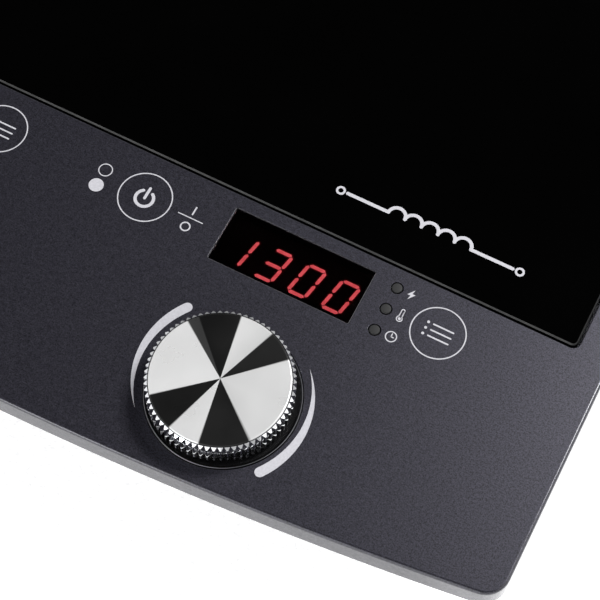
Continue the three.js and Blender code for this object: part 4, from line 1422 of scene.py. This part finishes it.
# ---- Cooking zone
@dataclass
class CookingZone:
    """Coil with its former, mica sheet and sensor, and the power stage under it."""

    name: str
    ferrites: int = 10
    wire: float = 2.6
    wire_pitch: float = 2.72
    layers: int = 2
    coil_bore: float = 20
    steps: int = 44

    def part(self, kind: str) -> Span:
        """The box of this zone's node of that kind."""
        return span(f"{kind}_{self.name}")

    def piece(self, form: Form, name: str, finishes: Finish | list[Finish], slot: str, node: str) -> None:
        """Finishes one piece that stands for one node of this zone."""
        form.piece(f"{name}_{self.name}", finishes, slot, [f"{node}_{self.name}"])

    def build(self) -> None:
        """Models the zone from the former up, then the power stage."""
        self.former()
        self.winding()
        self.mica()
        self.sensor()
        self.board()
        self.heatsink()
        self.capacitor()
        self.choke()

    def former(self) -> None:
        """The dish that carries the winding, with ferrite bars let into its underside."""
        box = self.part("coil_former")
        radius, low, high = box.size.x / 2, box.low.z, box.high.z
        floor = low + 3
        profile = [
            (8.6, low), (radius - 0.5, low), (radius, low + 0.5), (radius, high - 0.4), (radius - 0.4, high),
            (radius - 2.5, high), (radius - 2.7, high - 0.2), (radius - 2.7, floor), (19.7, floor),
            (19.4, floor + 2.6), (17.6, floor + 2.6), (17.4, floor), (8.6, floor),
        ]
        dish = Form.turned(profile, 96, ring=True)
        pockets, bars = [], []
        for i in range(self.ferrites):
            degrees = 360 * i / self.ferrites
            pockets.append(Form.block((31, -5, low - 1), (85, 5, low + 2)).turn(degrees))
            bar = Form.block((31.4, -4.6, low + 0.1), (84.6, 4.6, low + 1.9)).ease(0.4, 2)
            bars.append(bar.turn(degrees).paint(1))
        dish.cut(*pockets).add(*bars).at(box.mid.x, box.mid.y)
        self.piece(dish, "former", [FORMER, FERRITE], "former_plastic", "coil_former")

    def winding(self) -> None:
        """Two flat spirals of stranded wire, one on the other."""
        box = self.part("coil_winding")
        radius = self.wire / 2
        outer = box.size.x / 2 - radius
        turns = (outer - self.coil_bore - radius) / self.wire_pitch
        coil = Form()
        for layer in range(self.layers):
            z = box.low.z + radius + layer * (box.size.z - self.wire) / (self.layers - 1)
            points = []
            for i in range(int(turns * self.steps) + 1):
                reach = outer - self.wire_pitch * i / self.steps
                points.append((*polar(reach, TAU * i / self.steps), z))
            coil.add(Form.sweep(points, radius, 8))
        coil.at(box.mid.x, box.mid.y)
        self.piece(coil, "winding", COPPER, "copper_winding", "coil_winding")

    def mica(self) -> None:
        """The mica sheet, slit where it slips round the coil's ends."""
        box = self.part("mica_sheet")
        radius, low, high = box.size.x / 2, box.low.z, box.high.z
        sheet = Form.turned([(9, low), (radius, low), (radius, high), (9, high)], 96, ring=True).ease(0.15, 1)
        slits = [
            Form.block((30 + 14 * i, -1, low - 1), (38 + 14 * i, 1, high + 1)).turn(90 * i) for i in range(4)
        ]
        sheet.cut(*slits).at(box.mid.x, box.mid.y)
        self.piece(sheet, "mica_disc", MICA, "mica", "mica_sheet")

    def sensor(self) -> None:
        """The ceramic bush that presses a bead against the glass."""
        box = self.part("temperature_sensor")
        low, high, wide = box.low.z, box.high.z, box.size.x / 2
        profile = [
            (0, low + 0.6), (3, low + 0.6), (3.4, low), (wide - 0.4, low), (wide, low + 0.4),
            (wide, low + 1.6), (wide - 0.4, low + 2), (8, low + 2), (8, low + 6), (7.4, low + 6.5),
            (7.4, low + 8), (8, low + 8.5), (8, high - 0.8), (7.4, high - 0.2), (5, high - 0.2),
            (4.6, high - 0.9), (2.6, high - 0.9), (2.2, high - 0.1), (0, high),
        ]
        bush = Form.turned(profile, 64).at(box.mid.x, box.mid.y)
        self.piece(bush, "sensor", SENSOR, "sensor_ceramic", "temperature_sensor")

    def board(self) -> None:
        """The power board with its small parts round the big ones."""
        box = self.part("power_board")
        busy = [self.part(kind) for kind in ("heatsink", "film_capacitor", "line_choke")]
        made = Form.block(box.low, box.high).ease(0.25, 1)
        made.add(*scatter_chips(box, 46, seed=11, above=True, busy=busy))
        for i, (radius, high) in enumerate([(5, 18), (5, 18), (6.3, 16), (4, 11)]):
            profile = [
                (0, 0), (radius - 0.4, 0), (radius, 0.4), (radius, 1.6), (radius - 0.35, 2.1), (radius, 2.6),
                (radius, high - 0.5), (radius - 0.5, high), (radius - 1.1, high - 0.2), (0, high - 0.2),
            ]
            row, column = divmod(i, 2)
            can = Form.turned(profile, 32).paint(1)
            made.add(can.at(box.low.x + 12 + column * 15, box.mid.y - 30 + row * 20, box.high.z + 0.05))
        self.piece(made, "power_stage_board", [BOARD, CHIP, SOLDER], "circuit_board", "power_board")

    def heatsink(self) -> None:
        """The extruded comb of fins."""
        box = self.part("heatsink")
        fins, thick, base = 9, 2.0, 4.0
        high, half = box.size.z, box.size.x / 2
        pitch = (box.size.x - thick) / (fins - 1)
        outline = [(-half, 0), (half, 0)]
        for i in reversed(range(fins)):
            left = -half + i * pitch
            right = left + thick
            outline += [(right, base)] if i < fins - 1 else []
            outline += [(right - 0.25, high - 0.6), (right - 0.6, high)]
            outline += [(left + 0.6, high), (left + 0.25, high - 0.6)]
            outline += [(left, base)] if i > 0 else []
        comb = Form.prism(outline, 0, (box.size.y, 0)).turn(90, "X")
        comb.at(box.mid.x, box.high.y, box.low.z)
        self.piece(comb, "fin_comb", ALUMINIUM, "heatsink_aluminium", "heatsink")

    def capacitor(self) -> None:
        """The boxed film capacitor, with the dip of its poured top."""
        box = self.part("film_capacitor")
        outline = around(box.mid, box.size.x, box.size.y, 2, 6)
        can = Form.prism(outline, box.low.z, (box.size.z - 0.8, 0), *rounding(0.8, 3), (0, 0.8), (-0.5, 0.3))
        self.piece(can, "boxed_capacitor", FILM, "capacitor_film", "film_capacitor")

    def choke(self) -> None:
        """The ring core with its wire laid round it."""
        box = self.part("line_choke")
        middle, ring, half_wide, half_high = box.size.z / 2, 9.5, 3.1, 4.6
        core = around((ring, middle), 2 * half_wide, 2 * half_high, 1, 3)
        body = Form.turned(core, 48, ring=True)
        loops, per_loop, wire = 22, 14, 0.55
        points = []
        for i in range(loops * per_loop):
            turn, lap = TAU * i / per_loop, 0.94 * TAU * i / (loops * per_loop)
            out, up = half_wide + wire + 0.1, half_high + wire + 0.1
            reach, height = ring + out * math.cos(turn), middle + up * math.sin(turn)
            points.append((*polar(reach, lap), height))
        body.add(Form.sweep(points, wire, 6).paint(1)).at(box.mid.x, box.mid.y, box.low.z)
        self.piece(body, "wound_choke", [FERRITE, COPPER], "choke_core", "line_choke")


def scatter_chips(board: Span, count: int, seed: int, above: bool, busy: Sequence[Span]) -> list[Form]:
    """Lays small parts on a board, clear of the big ones.

    Args:
        board: The board's box.
        count: How many small parts.
        seed: Start of the draw.
        above: Whether they sit on the upper side.
        busy: Boxes that stay free.

    Returns:
        The parts, resin bodies in material 1 and soldered ends in material 2.
    """
    draw = random.Random(seed)
    parts: list[Form] = []
    taken = [(b.low.x - 2, b.low.y - 2, b.high.x + 2, b.high.y + 2) for b in busy]
    for _ in range(count * 6):
        if len(parts) >= count:
            break
        wide, deep, high = draw.choice([(3.2, 1.6, 0.7), (2.0, 1.2, 0.6), (5.0, 4.0, 1.2), (7.5, 5.0, 1.4)])
        x = draw.uniform(board.low.x + 9, board.high.x - 9)
        y = draw.uniform(board.low.y + 9, board.high.y - 9)
        left, front, right, rear = x - wide / 2 - 1, y - deep / 2 - 1, x + wide / 2 + 1, y + deep / 2 + 1
        if any(left < t[2] and right > t[0] and front < t[3] and rear > t[1] for t in taken):
            continue
        taken.append((left, front, right, rear))
        bottom = board.high.z if above else board.low.z - high
        body = Form.block((x - wide / 2, y - deep / 2, bottom), (x + wide / 2, y + deep / 2, bottom + high))
        foot = bottom if above else bottom + high - 0.3
        ends = []
        for end in (x - wide / 2 - 0.2, x + wide / 2 + 0.2):
            pad = Form.block((end - 0.25, y - deep / 2.6, foot), (end + 0.25, y + deep / 2.6, foot + 0.3))
            ends.append(pad.paint(2))
        parts.append(body.ease(0.15, 1).paint(1).add(*ends))
    return parts


@dataclass
class CoolingFan:
    """Square fan frame and its bladed rotor."""

    name: str
    wall: float = 3
    corner: float = 4
    flange: float = 4
    hub: float = 15
    blades: int = 7
    pin: float = 1.5
    strut: float = 2.5

    def build(self) -> None:
        """Models both pieces."""
        self.casing()
        self.rotor()

    def casing(self) -> None:
        """The frame: two square flanges joined by a round duct, with three struts."""
        box = span(f"fan_frame_{self.name}")
        half, high = box.size.x / 2, box.size.z
        bore = half - self.wall
        square = around((0, 0), 2 * half, 2 * half, self.corner, 8)
        case = Form.prism(square, 0, (high - 0.4, 0), (0.4, 0.4))
        rise = high - 2 * self.flange
        waist = Form.prism(around((0, 0), 3 * half, 3 * half, 1), self.flange, (rise, 0))
        waist.cut(Form.rod(bore + 1.8, 0, high, 96))
        reach = half - 4.5
        holes = [
            Form.rod(2.1, -1, high + 1, 20).at(x, y) for x in (-reach, reach) for y in (-reach, reach)
        ]
        profile = [(0, -1), (bore + 1.2, -1), (bore, 1.2), (bore, high - 1.2), (bore + 1.2, high + 1)]
        case.cut(waist, Form.turned([*profile, (0, high + 1)], 96), *holes)
        spider = [Form.rod(self.hub - 1, 0, self.strut, 48), Form.rod(self.pin, 0, high - 6, 20)]
        for i in range(3):
            arm = Form.block((bore / 2 - (bore + 2) / 2, -2, 0), (bore + 1, 2, self.strut))
            spider.append(arm.turn(120 * i))
        case.join(*spider).at(box.mid.x, box.mid.y, box.low.z)
        case.piece(f"fan_casing_{self.name}", FAN, "fan_plastic", [f"fan_frame_{self.name}"], crease=28)

    def rotor(self) -> None:
        """The hub with its twisted blades."""
        frame_box, box = span(f"fan_frame_{self.name}"), span(f"fan_rotor_{self.name}")
        low, high = box.low.z, box.high.z
        reach = frame_box.size.x / 2 - self.wall - self.pin
        hub = self.hub
        profile = [(0, low), (hub - 0.8, low), (hub, low + 0.8), (hub, high - 1.5)]
        profile += [(hub - 0.5, high - 0.5), (hub - 1.6, high), (0, high)]
        rotor = Form.turned(profile, 64)
        middle = (low + high) / 2
        blades = []
        for i in range(self.blades):
            blade = Form()
            bmesh.ops.create_grid(blade.bm, x_segments=8, y_segments=6, size=0.5)
            for vert in blade.bm.verts:
                out, along = vert.co.x + 0.5, vert.co.y
                radius = hub - 1.5 + out * (reach - hub + 1.5)
                pitch = math.radians(46 - 16 * out)
                chord = 13.5 + 1.5 * out
                angle = 0.18 * out + along * chord * math.cos(pitch) / radius
                camber = 1.6 * (0.25 - along * along) * 4
                height = middle + along * chord * math.sin(pitch) + camber - 0.8
                vert.co = (*polar(radius, angle), height)
            bmesh.ops.solidify(blade.bm, geom=blade.bm.faces[:], thickness=1.1)
            blades.append(blade.outward().turn(360 * i / self.blades))
        rotor.join(*blades).cut(Form.rod(self.pin + FIT, low - 1, high - 4, 20))
        rotor.at(frame_box.mid.x, frame_box.mid.y)
        body = f"fan_{self.name}"
        rotor.piece(f"impeller_{self.name}", FAN, "fan_plastic", [f"fan_rotor_{self.name}"], body=body)


# ---- Control set
def stroke(points: Sequence[Point], width: float | Callable[[float], float], thick: float) -> Form:
    """Lays a flat line with round ends through points.

    Args:
        points: The line's middle.
        width: Its width, or a function from 0 at the start to 1 at the end.
        thick: Thickness of the film.

    Returns:
        The film, lying on height zero.
    """
    spots = [Vector(p) for p in points]
    count = len(spots)
    halves = [(width(i / (count - 1)) if callable(width) else width) / 2 for i in range(count)]
    right, left = [], []
    for i, spot in enumerate(spots):
        along = (spots[min(i + 1, count - 1)] - spots[max(i - 1, 0)]).normalized()
        across = Vector((-along.y, along.x)) * halves[i]
        right.append(tuple(spot - across))
        left.append(tuple(spot + across))

    def cap(spot: Vector, start: Point, radius: float) -> list[Point]:
        """The round end from one side to the other."""
        offset = Vector(start) - spot
        angle = math.degrees(math.atan2(offset.y, offset.x))
        return arc(spot.x, spot.y, radius, angle, angle + 180, 8)[1:-1] if radius > 0.05 else []

    ends = cap(spots[-1], right[-1], halves[-1]), cap(spots[0], left[0], halves[0])
    return Form.prism([*right, *ends[0], *reversed(left), *ends[1]], 0, (thick, 0))


def hoop(radius: float, width: float, thick: float, sides: int = 72) -> Form:
    """Lays a flat ring about the origin."""
    low, high = radius - width / 2, radius + width / 2
    return Form.turned([(low, 0), (high, 0), (high, thick), (low, thick)], sides, ring=True)


@dataclass
class PanelPrint:
    """Grey marks round one control set, placed from the middle of its display."""

    side: str
    film: float = 0.03
    line: float = 0.42
    key_radius: float = 9.35
    sweep_middle: Point = (0.6, -50.3)
    sweep_start: float = 140
    sweep_turn: float = 81
    sweep_steps: int = 40
    sweep_out: float = 31.3
    sweep_in: float = 29.1
    sweep_width: float = 3.4

    def build(self) -> None:
        """Prints the marks."""
        display, panel = span(f"display_window_{self.side}"), span("top_housing")
        marks = Form()
        power, menu = (
            span(f"{node}_{self.side}").mid - display.mid for node in ("touch_pad_power", "touch_pad_menu")
        )
        marks.add(*self.power_key(power), *self.menu_key(menu))
        marks.add(*self.on_off(), *self.lamp_signs(), *self.sweeps())
        marks.at(display.mid.x, display.mid.y, panel.high.z)
        marks.piece(f"panel_print_{self.side}", INK, "")

    def power_key(self, mid: Vector) -> list[Form]:
        """The ring of the on key, the sign in it and the two dots beside it.

        Args:
            mid: Middle of the key.

        Returns:
            The marks.
        """
        bow = stroke(arc(0, -0.5, 3.15, 124, 416, 40), 1.12, self.film)
        bar = stroke([(0, 3.8), (0, -0.4)], 1.0, self.film)
        ring = hoop(self.key_radius, self.line, self.film)
        open_dot = hoop(2.35, 0.36, self.film, 40).at(-17.15, 3.0)
        full_dot = Form.rod(2.6, 0, self.film, 40).at(-17.1, -3.6)
        return [form.at(mid.x, mid.y - 0.35) for form in (bow, bar, ring, open_dot, full_dot)]

    def menu_key(self, mid: Vector) -> list[Form]:
        """The ring of the menu key and its list sign.

        Args:
            mid: Middle of the key.

        Returns:
            The marks.
        """
        forms = [hoop(self.key_radius, self.line, self.film)]
        for y in (-2.3, 0, 2.3):
            forms.append(stroke([(-2.6, y), (4.6, y)], 0.55, self.film))
            forms.append(Form.rod(0.5, 0, self.film, 20).at(-4.5, y))
        return [form.at(mid.x, mid.y) for form in forms]

    def on_off(self) -> list[Form]:
        """The on and off signs with the line between them."""
        on = stroke([(-38.6, 1.3), (-38.6, 4.3)], 0.55, self.film)
        line = stroke([(-43.2, -0.2), (-34, -0.2)], 0.36, self.film)
        return [on, line, hoop(1.6, 0.5, self.film, 40).at(-38.6, -3.9)]

    def lamp_signs(self) -> list[Form]:
        """The signs beside the lamps: power, temperature and time."""
        line, film = 0.38, self.film
        bolt = [(0.55, 2.1), (-1.3, -0.35), (-0.15, -0.35), (-0.6, -2.1), (1.35, 0.4), (0.2, 0.4)]
        tube = [*arc(0, 1.75, 0.55, 0, 180, 8), (-0.55, -0.55), *arc(0, -1.4, 1.0, 123, 417, 16)]
        tube += [(0.55, -0.5), (0.55, 1.75)]
        hands = [stroke([(0, 1.15), (0, 0)], line, film), stroke([(0.02, -0.05), (0.85, -0.05)], line, film)]
        clock = [hoop(1.85, line, film, 40), *hands]
        gauge = [stroke(tube, 0.34, film), Form.rod(0.5, 0, film, 20).at(0, -1.4)]
        return [
            Form.prism(bolt, 0, (film, 0)).at(40.4, 8.6),
            *(form.at(40.6, 0.2) for form in gauge),
            *(form.at(41, -8.4) for form in clock),
        ]

    def sweeps(self) -> list[Form]:
        """The two tapered arcs that say that the knob turns both ways."""
        points = []
        for i in range(self.sweep_steps + 1):
            share = i / self.sweep_steps
            reach = self.sweep_in + (self.sweep_out - self.sweep_in) * (1 - share) ** 1.3
            points.append(polar(reach, math.radians(self.sweep_start + self.sweep_turn * share)))
        forms = []
        for turn in (0, 180):
            band = stroke(points, lambda share: max(0.06, self.sweep_width * (1 - share**1.5)), self.film)
            forms.append(band.turn(turn).at(*self.sweep_middle))
        return forms


@dataclass
class GlassMark:
    """The coil sign printed on the glass behind the right-hand display."""

    start: float = 4.5
    length: float = 62
    behind: float = 33.2
    humps: int = 5
    hump: float = 3.1
    width: float = 1.25
    film: float = 0.03

    def build(self) -> None:
        """Prints the sign: a row of turns between two leads with round ends."""
        display, glass = span("display_window_right"), span("glass_plate")
        lead = (self.length - 2 * self.hump * self.humps) / 2
        sign = stroke([(0, 0), (lead, 0)], self.width, self.film)
        parts = [stroke([(self.length - lead, 0), (self.length, 0)], self.width, self.film)]
        for i in range(self.humps):
            turn = arc(lead + (2 * i + 1) * self.hump, 0, self.hump, 180, 0, 20)
            parts.append(stroke(turn, self.width, self.film))
        sign.join(*parts)
        for x in (-2.6, self.length + 2.6):
            sign.add(hoop(1.3, 0.8, self.film, 32).at(x))
        sign.at(display.mid.x + self.start, display.mid.y + self.behind, glass.high.z)
        sign.piece("glass_sign", INK, "")


@dataclass
class Display:
    """Smoked window over a module with four lit figures."""

    side: str
    figures: str = "1300"
    high: float = 13.0
    wide: float = 7.6
    pitch: float = 12.7
    slant: float = 2.5
    bar: float = 1.25
    space: float = 0.2
    first_x: float = -23.7
    foot_y: float = -8.45
    edge: float = 0.2
    grow: float = 0.25
    glow: float = 0.55

    LIT = {"0": "abcdef", "1": "bc", "3": "abcdg"}
    ENDS = {
        "a": "tl tr", "b": "mr tr", "c": "br mr", "d": "bl br", "e": "bl ml", "f": "ml tl", "g": "ml mr",
    }

    def build(self) -> None:
        """Models the window, the module, the figures and the painted glow round them."""
        window, module = span(f"display_window_{self.side}"), span(f"display_module_{self.side}")
        outline = around(window.mid, window.size.x + 2 * self.grow, window.size.y + 2 * self.grow, 0.6, 5)
        lens = Form.prism(outline, window.low.z, (window.size.z - self.edge, 0), (self.edge, self.edge))
        # The bevel faces take the light grey of the painted edge highlight.
        lens.paint_where(1, slanted)
        lens.piece(f"lens_{self.side}", [SMOKED, LENS_EDGE_HIGHLIGHT], "display_lens", [f"display_window_{self.side}"])
        block = Form.block(module.low, module.high).ease(0.4, 2)
        block.piece(f"digit_module_{self.side}", MODULE, "module_plastic", [f"display_module_{self.side}"])
        # The wider sheets are painted glow under the figures; only the figures are lit segments.
        for name, grow, thick, finish in (("painted_glow", self.glow, 0.02, HALO), ("figures", 0, 0.05, LED)):
            lit = Form()
            for i, figure in enumerate(self.figures):
                for bar in self.LIT[figure]:
                    lit.add(self.segment(bar, grow, thick).at(self.first_x + i * self.pitch, self.foot_y))
            lit.at(window.mid.x, window.mid.y, module.high.z).piece(f"lit_{name}_{self.side}", finish, "")

    def segment(self, name: str, grow: float, thick: float) -> Form:
        """One bar of a figure.

        Args:
            name: Its usual letter, from a at the top to g in the middle.
            grow: How far it spreads past its outline.
            thick: Its thickness.

        Returns:
            The bar, leaning with the figure.
        """
        w, h, k, g = self.wide - self.bar, self.high - self.bar, self.bar / 2, self.space
        corners = {"tl": (0, h), "tr": (w, h), "ml": (0, h / 2), "mr": (w, h / 2), "bl": (0, 0), "br": (w, 0)}
        start, stop = (Vector(corners[key]) + Vector((k, k)) for key in self.ENDS[name].split())
        along = (stop - start).normalized()
        across = Vector((-along.y, along.x)) * k
        near, far = start + along * g, stop - along * g
        near, far = near - along * grow, far + along * grow
        across = across * (1 + grow / k)
        outline = [near, near + along * k - across, far - along * k - across]
        outline += [far, far - along * k + across, near + along * k + across]
        bar = Form.prism([tuple(p) for p in outline], 0, (thick, 0))
        lean = Matrix.Identity(4)
        lean[0][1] = self.slant / self.high
        return bar.place(lean)


@dataclass
class Knob:
    """Knurled metal knob on its encoder, in a dish with a bright rim."""

    side: str
    teeth: int = 70
    tooth_depth: float = 1.0
    groove_height: float = 5.0
    bevel_drop: float = 0.8
    bevel_depth: float = 1.0
    wall: float = 1.4
    shaft: float = 3
    flat: float = 1.5
    thread_pitch: float = 0.75
    # Painted reflection sectors of the face: start angle, then painted brightness at its start and at its
    # end.
    reflection_sectors: tuple[tuple[float, float, float], ...] = (
        (0, 0.72, 0.7), (44.1, 0.01, 0.014), (71.1, 0.67, 0.76), (101, 0.007, 0.005),
        (135.6, 0.04, 0.045), (145.4, 0.8, 0.82), (221.2, 0.006, 0.008), (253.6, 0.76, 0.8),
        (280.3, 0.013, 0.006), (322, 0.66, 0.72),
    )

    def __post_init__(self) -> None:
        """Finds the axis and the heights."""
        self.skirt, self.cap = span(f"knob_body_{self.side}"), span(f"knob_cap_{self.side}")
        self.x, self.y = self.cap.mid.x, self.cap.mid.y
        self.panel_top = span("top_housing").high.z

    def hang(
        self, form: Form, name: str, finish: Finish | list[Finish], slot: str, node: str, turns: bool = True
    ) -> None:
        """Finishes one piece on the knob's axis.

        Args:
            form: The piece, modelled about that axis.
            name: Its name without the side.
            finish: Its finish, or one for each material index.
            slot: The record's material slot.
            node: The frame node it stands for, without the side.
            turns: Whether it turns with the knob.
        """
        body = f"knob_{self.side}" if turns else "root"
        form.at(self.x, self.y).piece(f"{name}_{self.side}", finish, slot, [f"{node}_{self.side}"], body=body)

    def build(self) -> None:
        """Models the encoder, the dish and the knob."""
        self.encoder()
        self.dish()
        self.grip()
        self.face()

    def encoder(self) -> None:
        """The encoder with its threaded bush, and the flatted shaft."""
        box, shaft = span(f"encoder_body_{self.side}"), span(f"encoder_shaft_{self.side}")
        half, low = box.size.x / 2, box.low.z
        top = self.panel_top - 3.3
        body = Form.block((-half, -half, low), (half, half, top)).ease(0.4, 2)
        turns = int((box.high.z - top - 0.6) / self.thread_pitch)
        profile = [(0, low + 1), (4.5, low + 1)]
        profile += thread(top + 0.5, self.thread_pitch, turns, (4.5, 4.2), 0.35)
        profile += [(4.4, box.high.z - 0.4), (4.0, box.high.z), (0, box.high.z)]
        body.join(Form.turned(profile, 40)).cut(Form.rod(self.shaft + FIT, low + 2, box.high.z + 1))
        body.paint_where(1, lambda face: face.calc_center_median().z > top + 0.05)
        self.hang(body, "rotary_encoder", [SWITCH, BRASS], "encoder_plastic", "encoder_body", turns=False)
        low, high = shaft.low.z, shaft.high.z
        rod = Form.turned([(0, low), (2.7, low), (3, low + 0.3), (3, high - 0.4), (2.6, high), (0, high)], 40)
        rod.cut(Form.block((-6, self.shaft - self.flat, self.panel_top + 3), (6, 6, high + 1)))
        self.hang(rod, "flatted_shaft", STEEL, "shaft_steel", "encoder_shaft")

    def dish(self) -> None:
        """The dark dish in the panel's well and its bright rim."""
        box = span(f"knob_bezel_{self.side}")
        outer, low, high = box.size.x / 2, box.low.z, box.high.z
        profile = [
            (5.7, low), (outer - 0.1, low), (outer, low + 0.1), (outer, high - 0.25),
            (outer - 0.06, high - 0.08), (outer - 0.18, high), (outer - 0.3, high - 0.08),
            (outer - 0.4, high - 0.3), (outer - 0.5, low + 1.2), (outer - 1.1, low + 0.8),
            (8.1, low + 0.8), (7.7, low + 1.1), (6.1, low + 1.1), (5.7, low + 0.8),
        ]
        ring = Form.turned(profile, 128, ring=True)
        ring.paint_where(1, lambda face: face.calc_center_median().z > high - 0.28)
        ring.at(box.mid.x - self.x, box.mid.y - self.y)
        self.hang(ring, "knob_dish", [DISH, RIM], "bezel_plastic", "knob_bezel", turns=False)

    def grip(self) -> None:
        """The knurled skirt: a cup, open downwards, with a hub bored for the shaft."""
        low, high, outer = self.skirt.low.z, self.skirt.high.z, self.skirt.size.x / 2
        outline = []
        for i in range(self.teeth):
            for share, depth in ((0.0, 0.0), (0.2, 0.0), (0.52, 1.0), (0.68, 1.0)):
                angle = TAU * (i + share - 0.1) / self.teeth
                outline.append(polar(outer - depth * self.tooth_depth, angle))
        grip = Form.prism(outline, low, (high - low, 0))
        wide, groove = outer + 0.1, low + self.groove_height
        envelope = [
            (0, low), (outer - 0.4, low), (wide, low + 0.5), (wide, groove - 0.55),
            (outer - self.tooth_depth, groove), (wide, groove + 0.55), (wide, high - self.bevel_drop),
            (outer - self.bevel_depth, high), (0, high),
        ]
        grip.work(Cut.WITHIN, [Form.turned(envelope, 140)])
        bore_top = span(f"encoder_shaft_{self.side}").high.z + FIT
        seat = self.cap.low.z - FIT
        grip.cut(
            Form.rod(outer - self.tooth_depth - self.wall, low - 1, seat - 1.5, 64),
            Form.rod(self.cap.size.x / 2 + 0.1, seat, high + 1, 128),
        )
        grip.join(Form.rod(self.shaft + 3, self.panel_top + 3, seat - 0.5, 40))
        bore = Form.rod(self.shaft + FIT, low - 1, bore_top, 40)
        bore.cut(Form.block((-6, self.shaft - self.flat + FIT, low - 2), (6, 6, bore_top + 1)))
        grip.cut(bore)
        self.hang(grip, "knurled_grip", CHROME, "knob_chrome", "knob_body")

    def face(self) -> None:
        """The face let into the skirt, with painted reflections: light and dark sectors in its colour."""
        low, high, radius = self.cap.low.z, self.cap.high.z, self.cap.size.x / 2
        edge = shoulder(radius, high, 0.45, (0.4, 0.8, 1.2))
        profile = [(0, low), (radius, low), (radius, high - 0.45), *edge, (radius - 0.5, high), (0, high)]
        # The face's light and dark sectors are painted reflections, not a polish.
        finish = PaintedReflectionFace(
            f"painted_reflection_face_{self.side}", (255, 255, 255), 0.3, 0.4, depth=0.0006, pitch=0.4,
            x=self.x, y=self.y, reflection_sectors=self.reflection_sectors,
        )
        self.hang(Form.turned(profile, 128), "painted_reflection_face", finish, "knob_face", "knob_cap")


@dataclass
class ControlSet:
    """Everything in the panel that sets one cooking zone."""

    side: str

    def build(self) -> None:
        """Models the display, lamps, keys, knob and marks."""
        Display(self.side).build()
        for lamp in LAMPS:
            box = span(f"indicator_{lamp}_{self.side}")
            low, high, radius = box.low.z, box.high.z, box.size.x / 2
            dome = shoulder(radius, high, 0.4, (0, 0.4, 0.8, 1.2, 1.5))
            form = Form.turned([(0, low), (radius, low), *dome, (0, high)], 32).at(box.mid.x, box.mid.y)
            form.piece(f"lamp_{lamp}_{self.side}", LAMP, "lamp_lens", [f"indicator_{lamp}_{self.side}"])
        for key in KEYS:
            box = span(f"touch_pad_{key}_{self.side}")
            low, high, radius = box.low.z, box.high.z, box.size.x / 2
            profile = [
                (0, low), (radius - 0.5, low), (radius - 0.1, low + 0.5), (radius, (low + high) / 2),
                (radius - 0.1, high - 0.5), (radius - 0.5, high), (0, high),
            ]
            form = Form.turned(profile, 40).at(box.mid.x, box.mid.y)
            form.piece(f"key_pad_{key}_{self.side}", FOAM, "touch_foam", [f"touch_pad_{key}_{self.side}"])
        Knob(self.side).build()
        PanelPrint(self.side).build()


@dataclass
class ControlBoard:
    """The board behind the panel, with its small parts underneath."""

    def build(self) -> None:
        """Models the board."""
        box = span("control_board")
        made = Form.block(box.low, box.high).ease(0.25, 1)
        made.add(*scatter_chips(box, 60, seed=5, above=False, busy=[]))
        made.piece("panel_board", [BOARD, CHIP, SOLDER], "circuit_board", ["control_board"])


def main() -> None:
    """Builds the studio and every sub-assembly in order."""
    logging.basicConfig(level=logging.INFO, format="%(name)s: %(message)s")
    Studio().build()
    plan = Plan()
    assemblies = [TopHousing(plan), GlassTop(), BaseTray(plan), MainsInlet(), ControlBoard(), GlassMark()]
    assemblies += [ControlSet(side) for side in SIDES]
    assemblies += [made(zone) for zone in ZONES for made in (CookingZone, CoolingFan)]
    for assembly in assemblies:
        assembly.build()


if __name__ == "__main__":
    main()
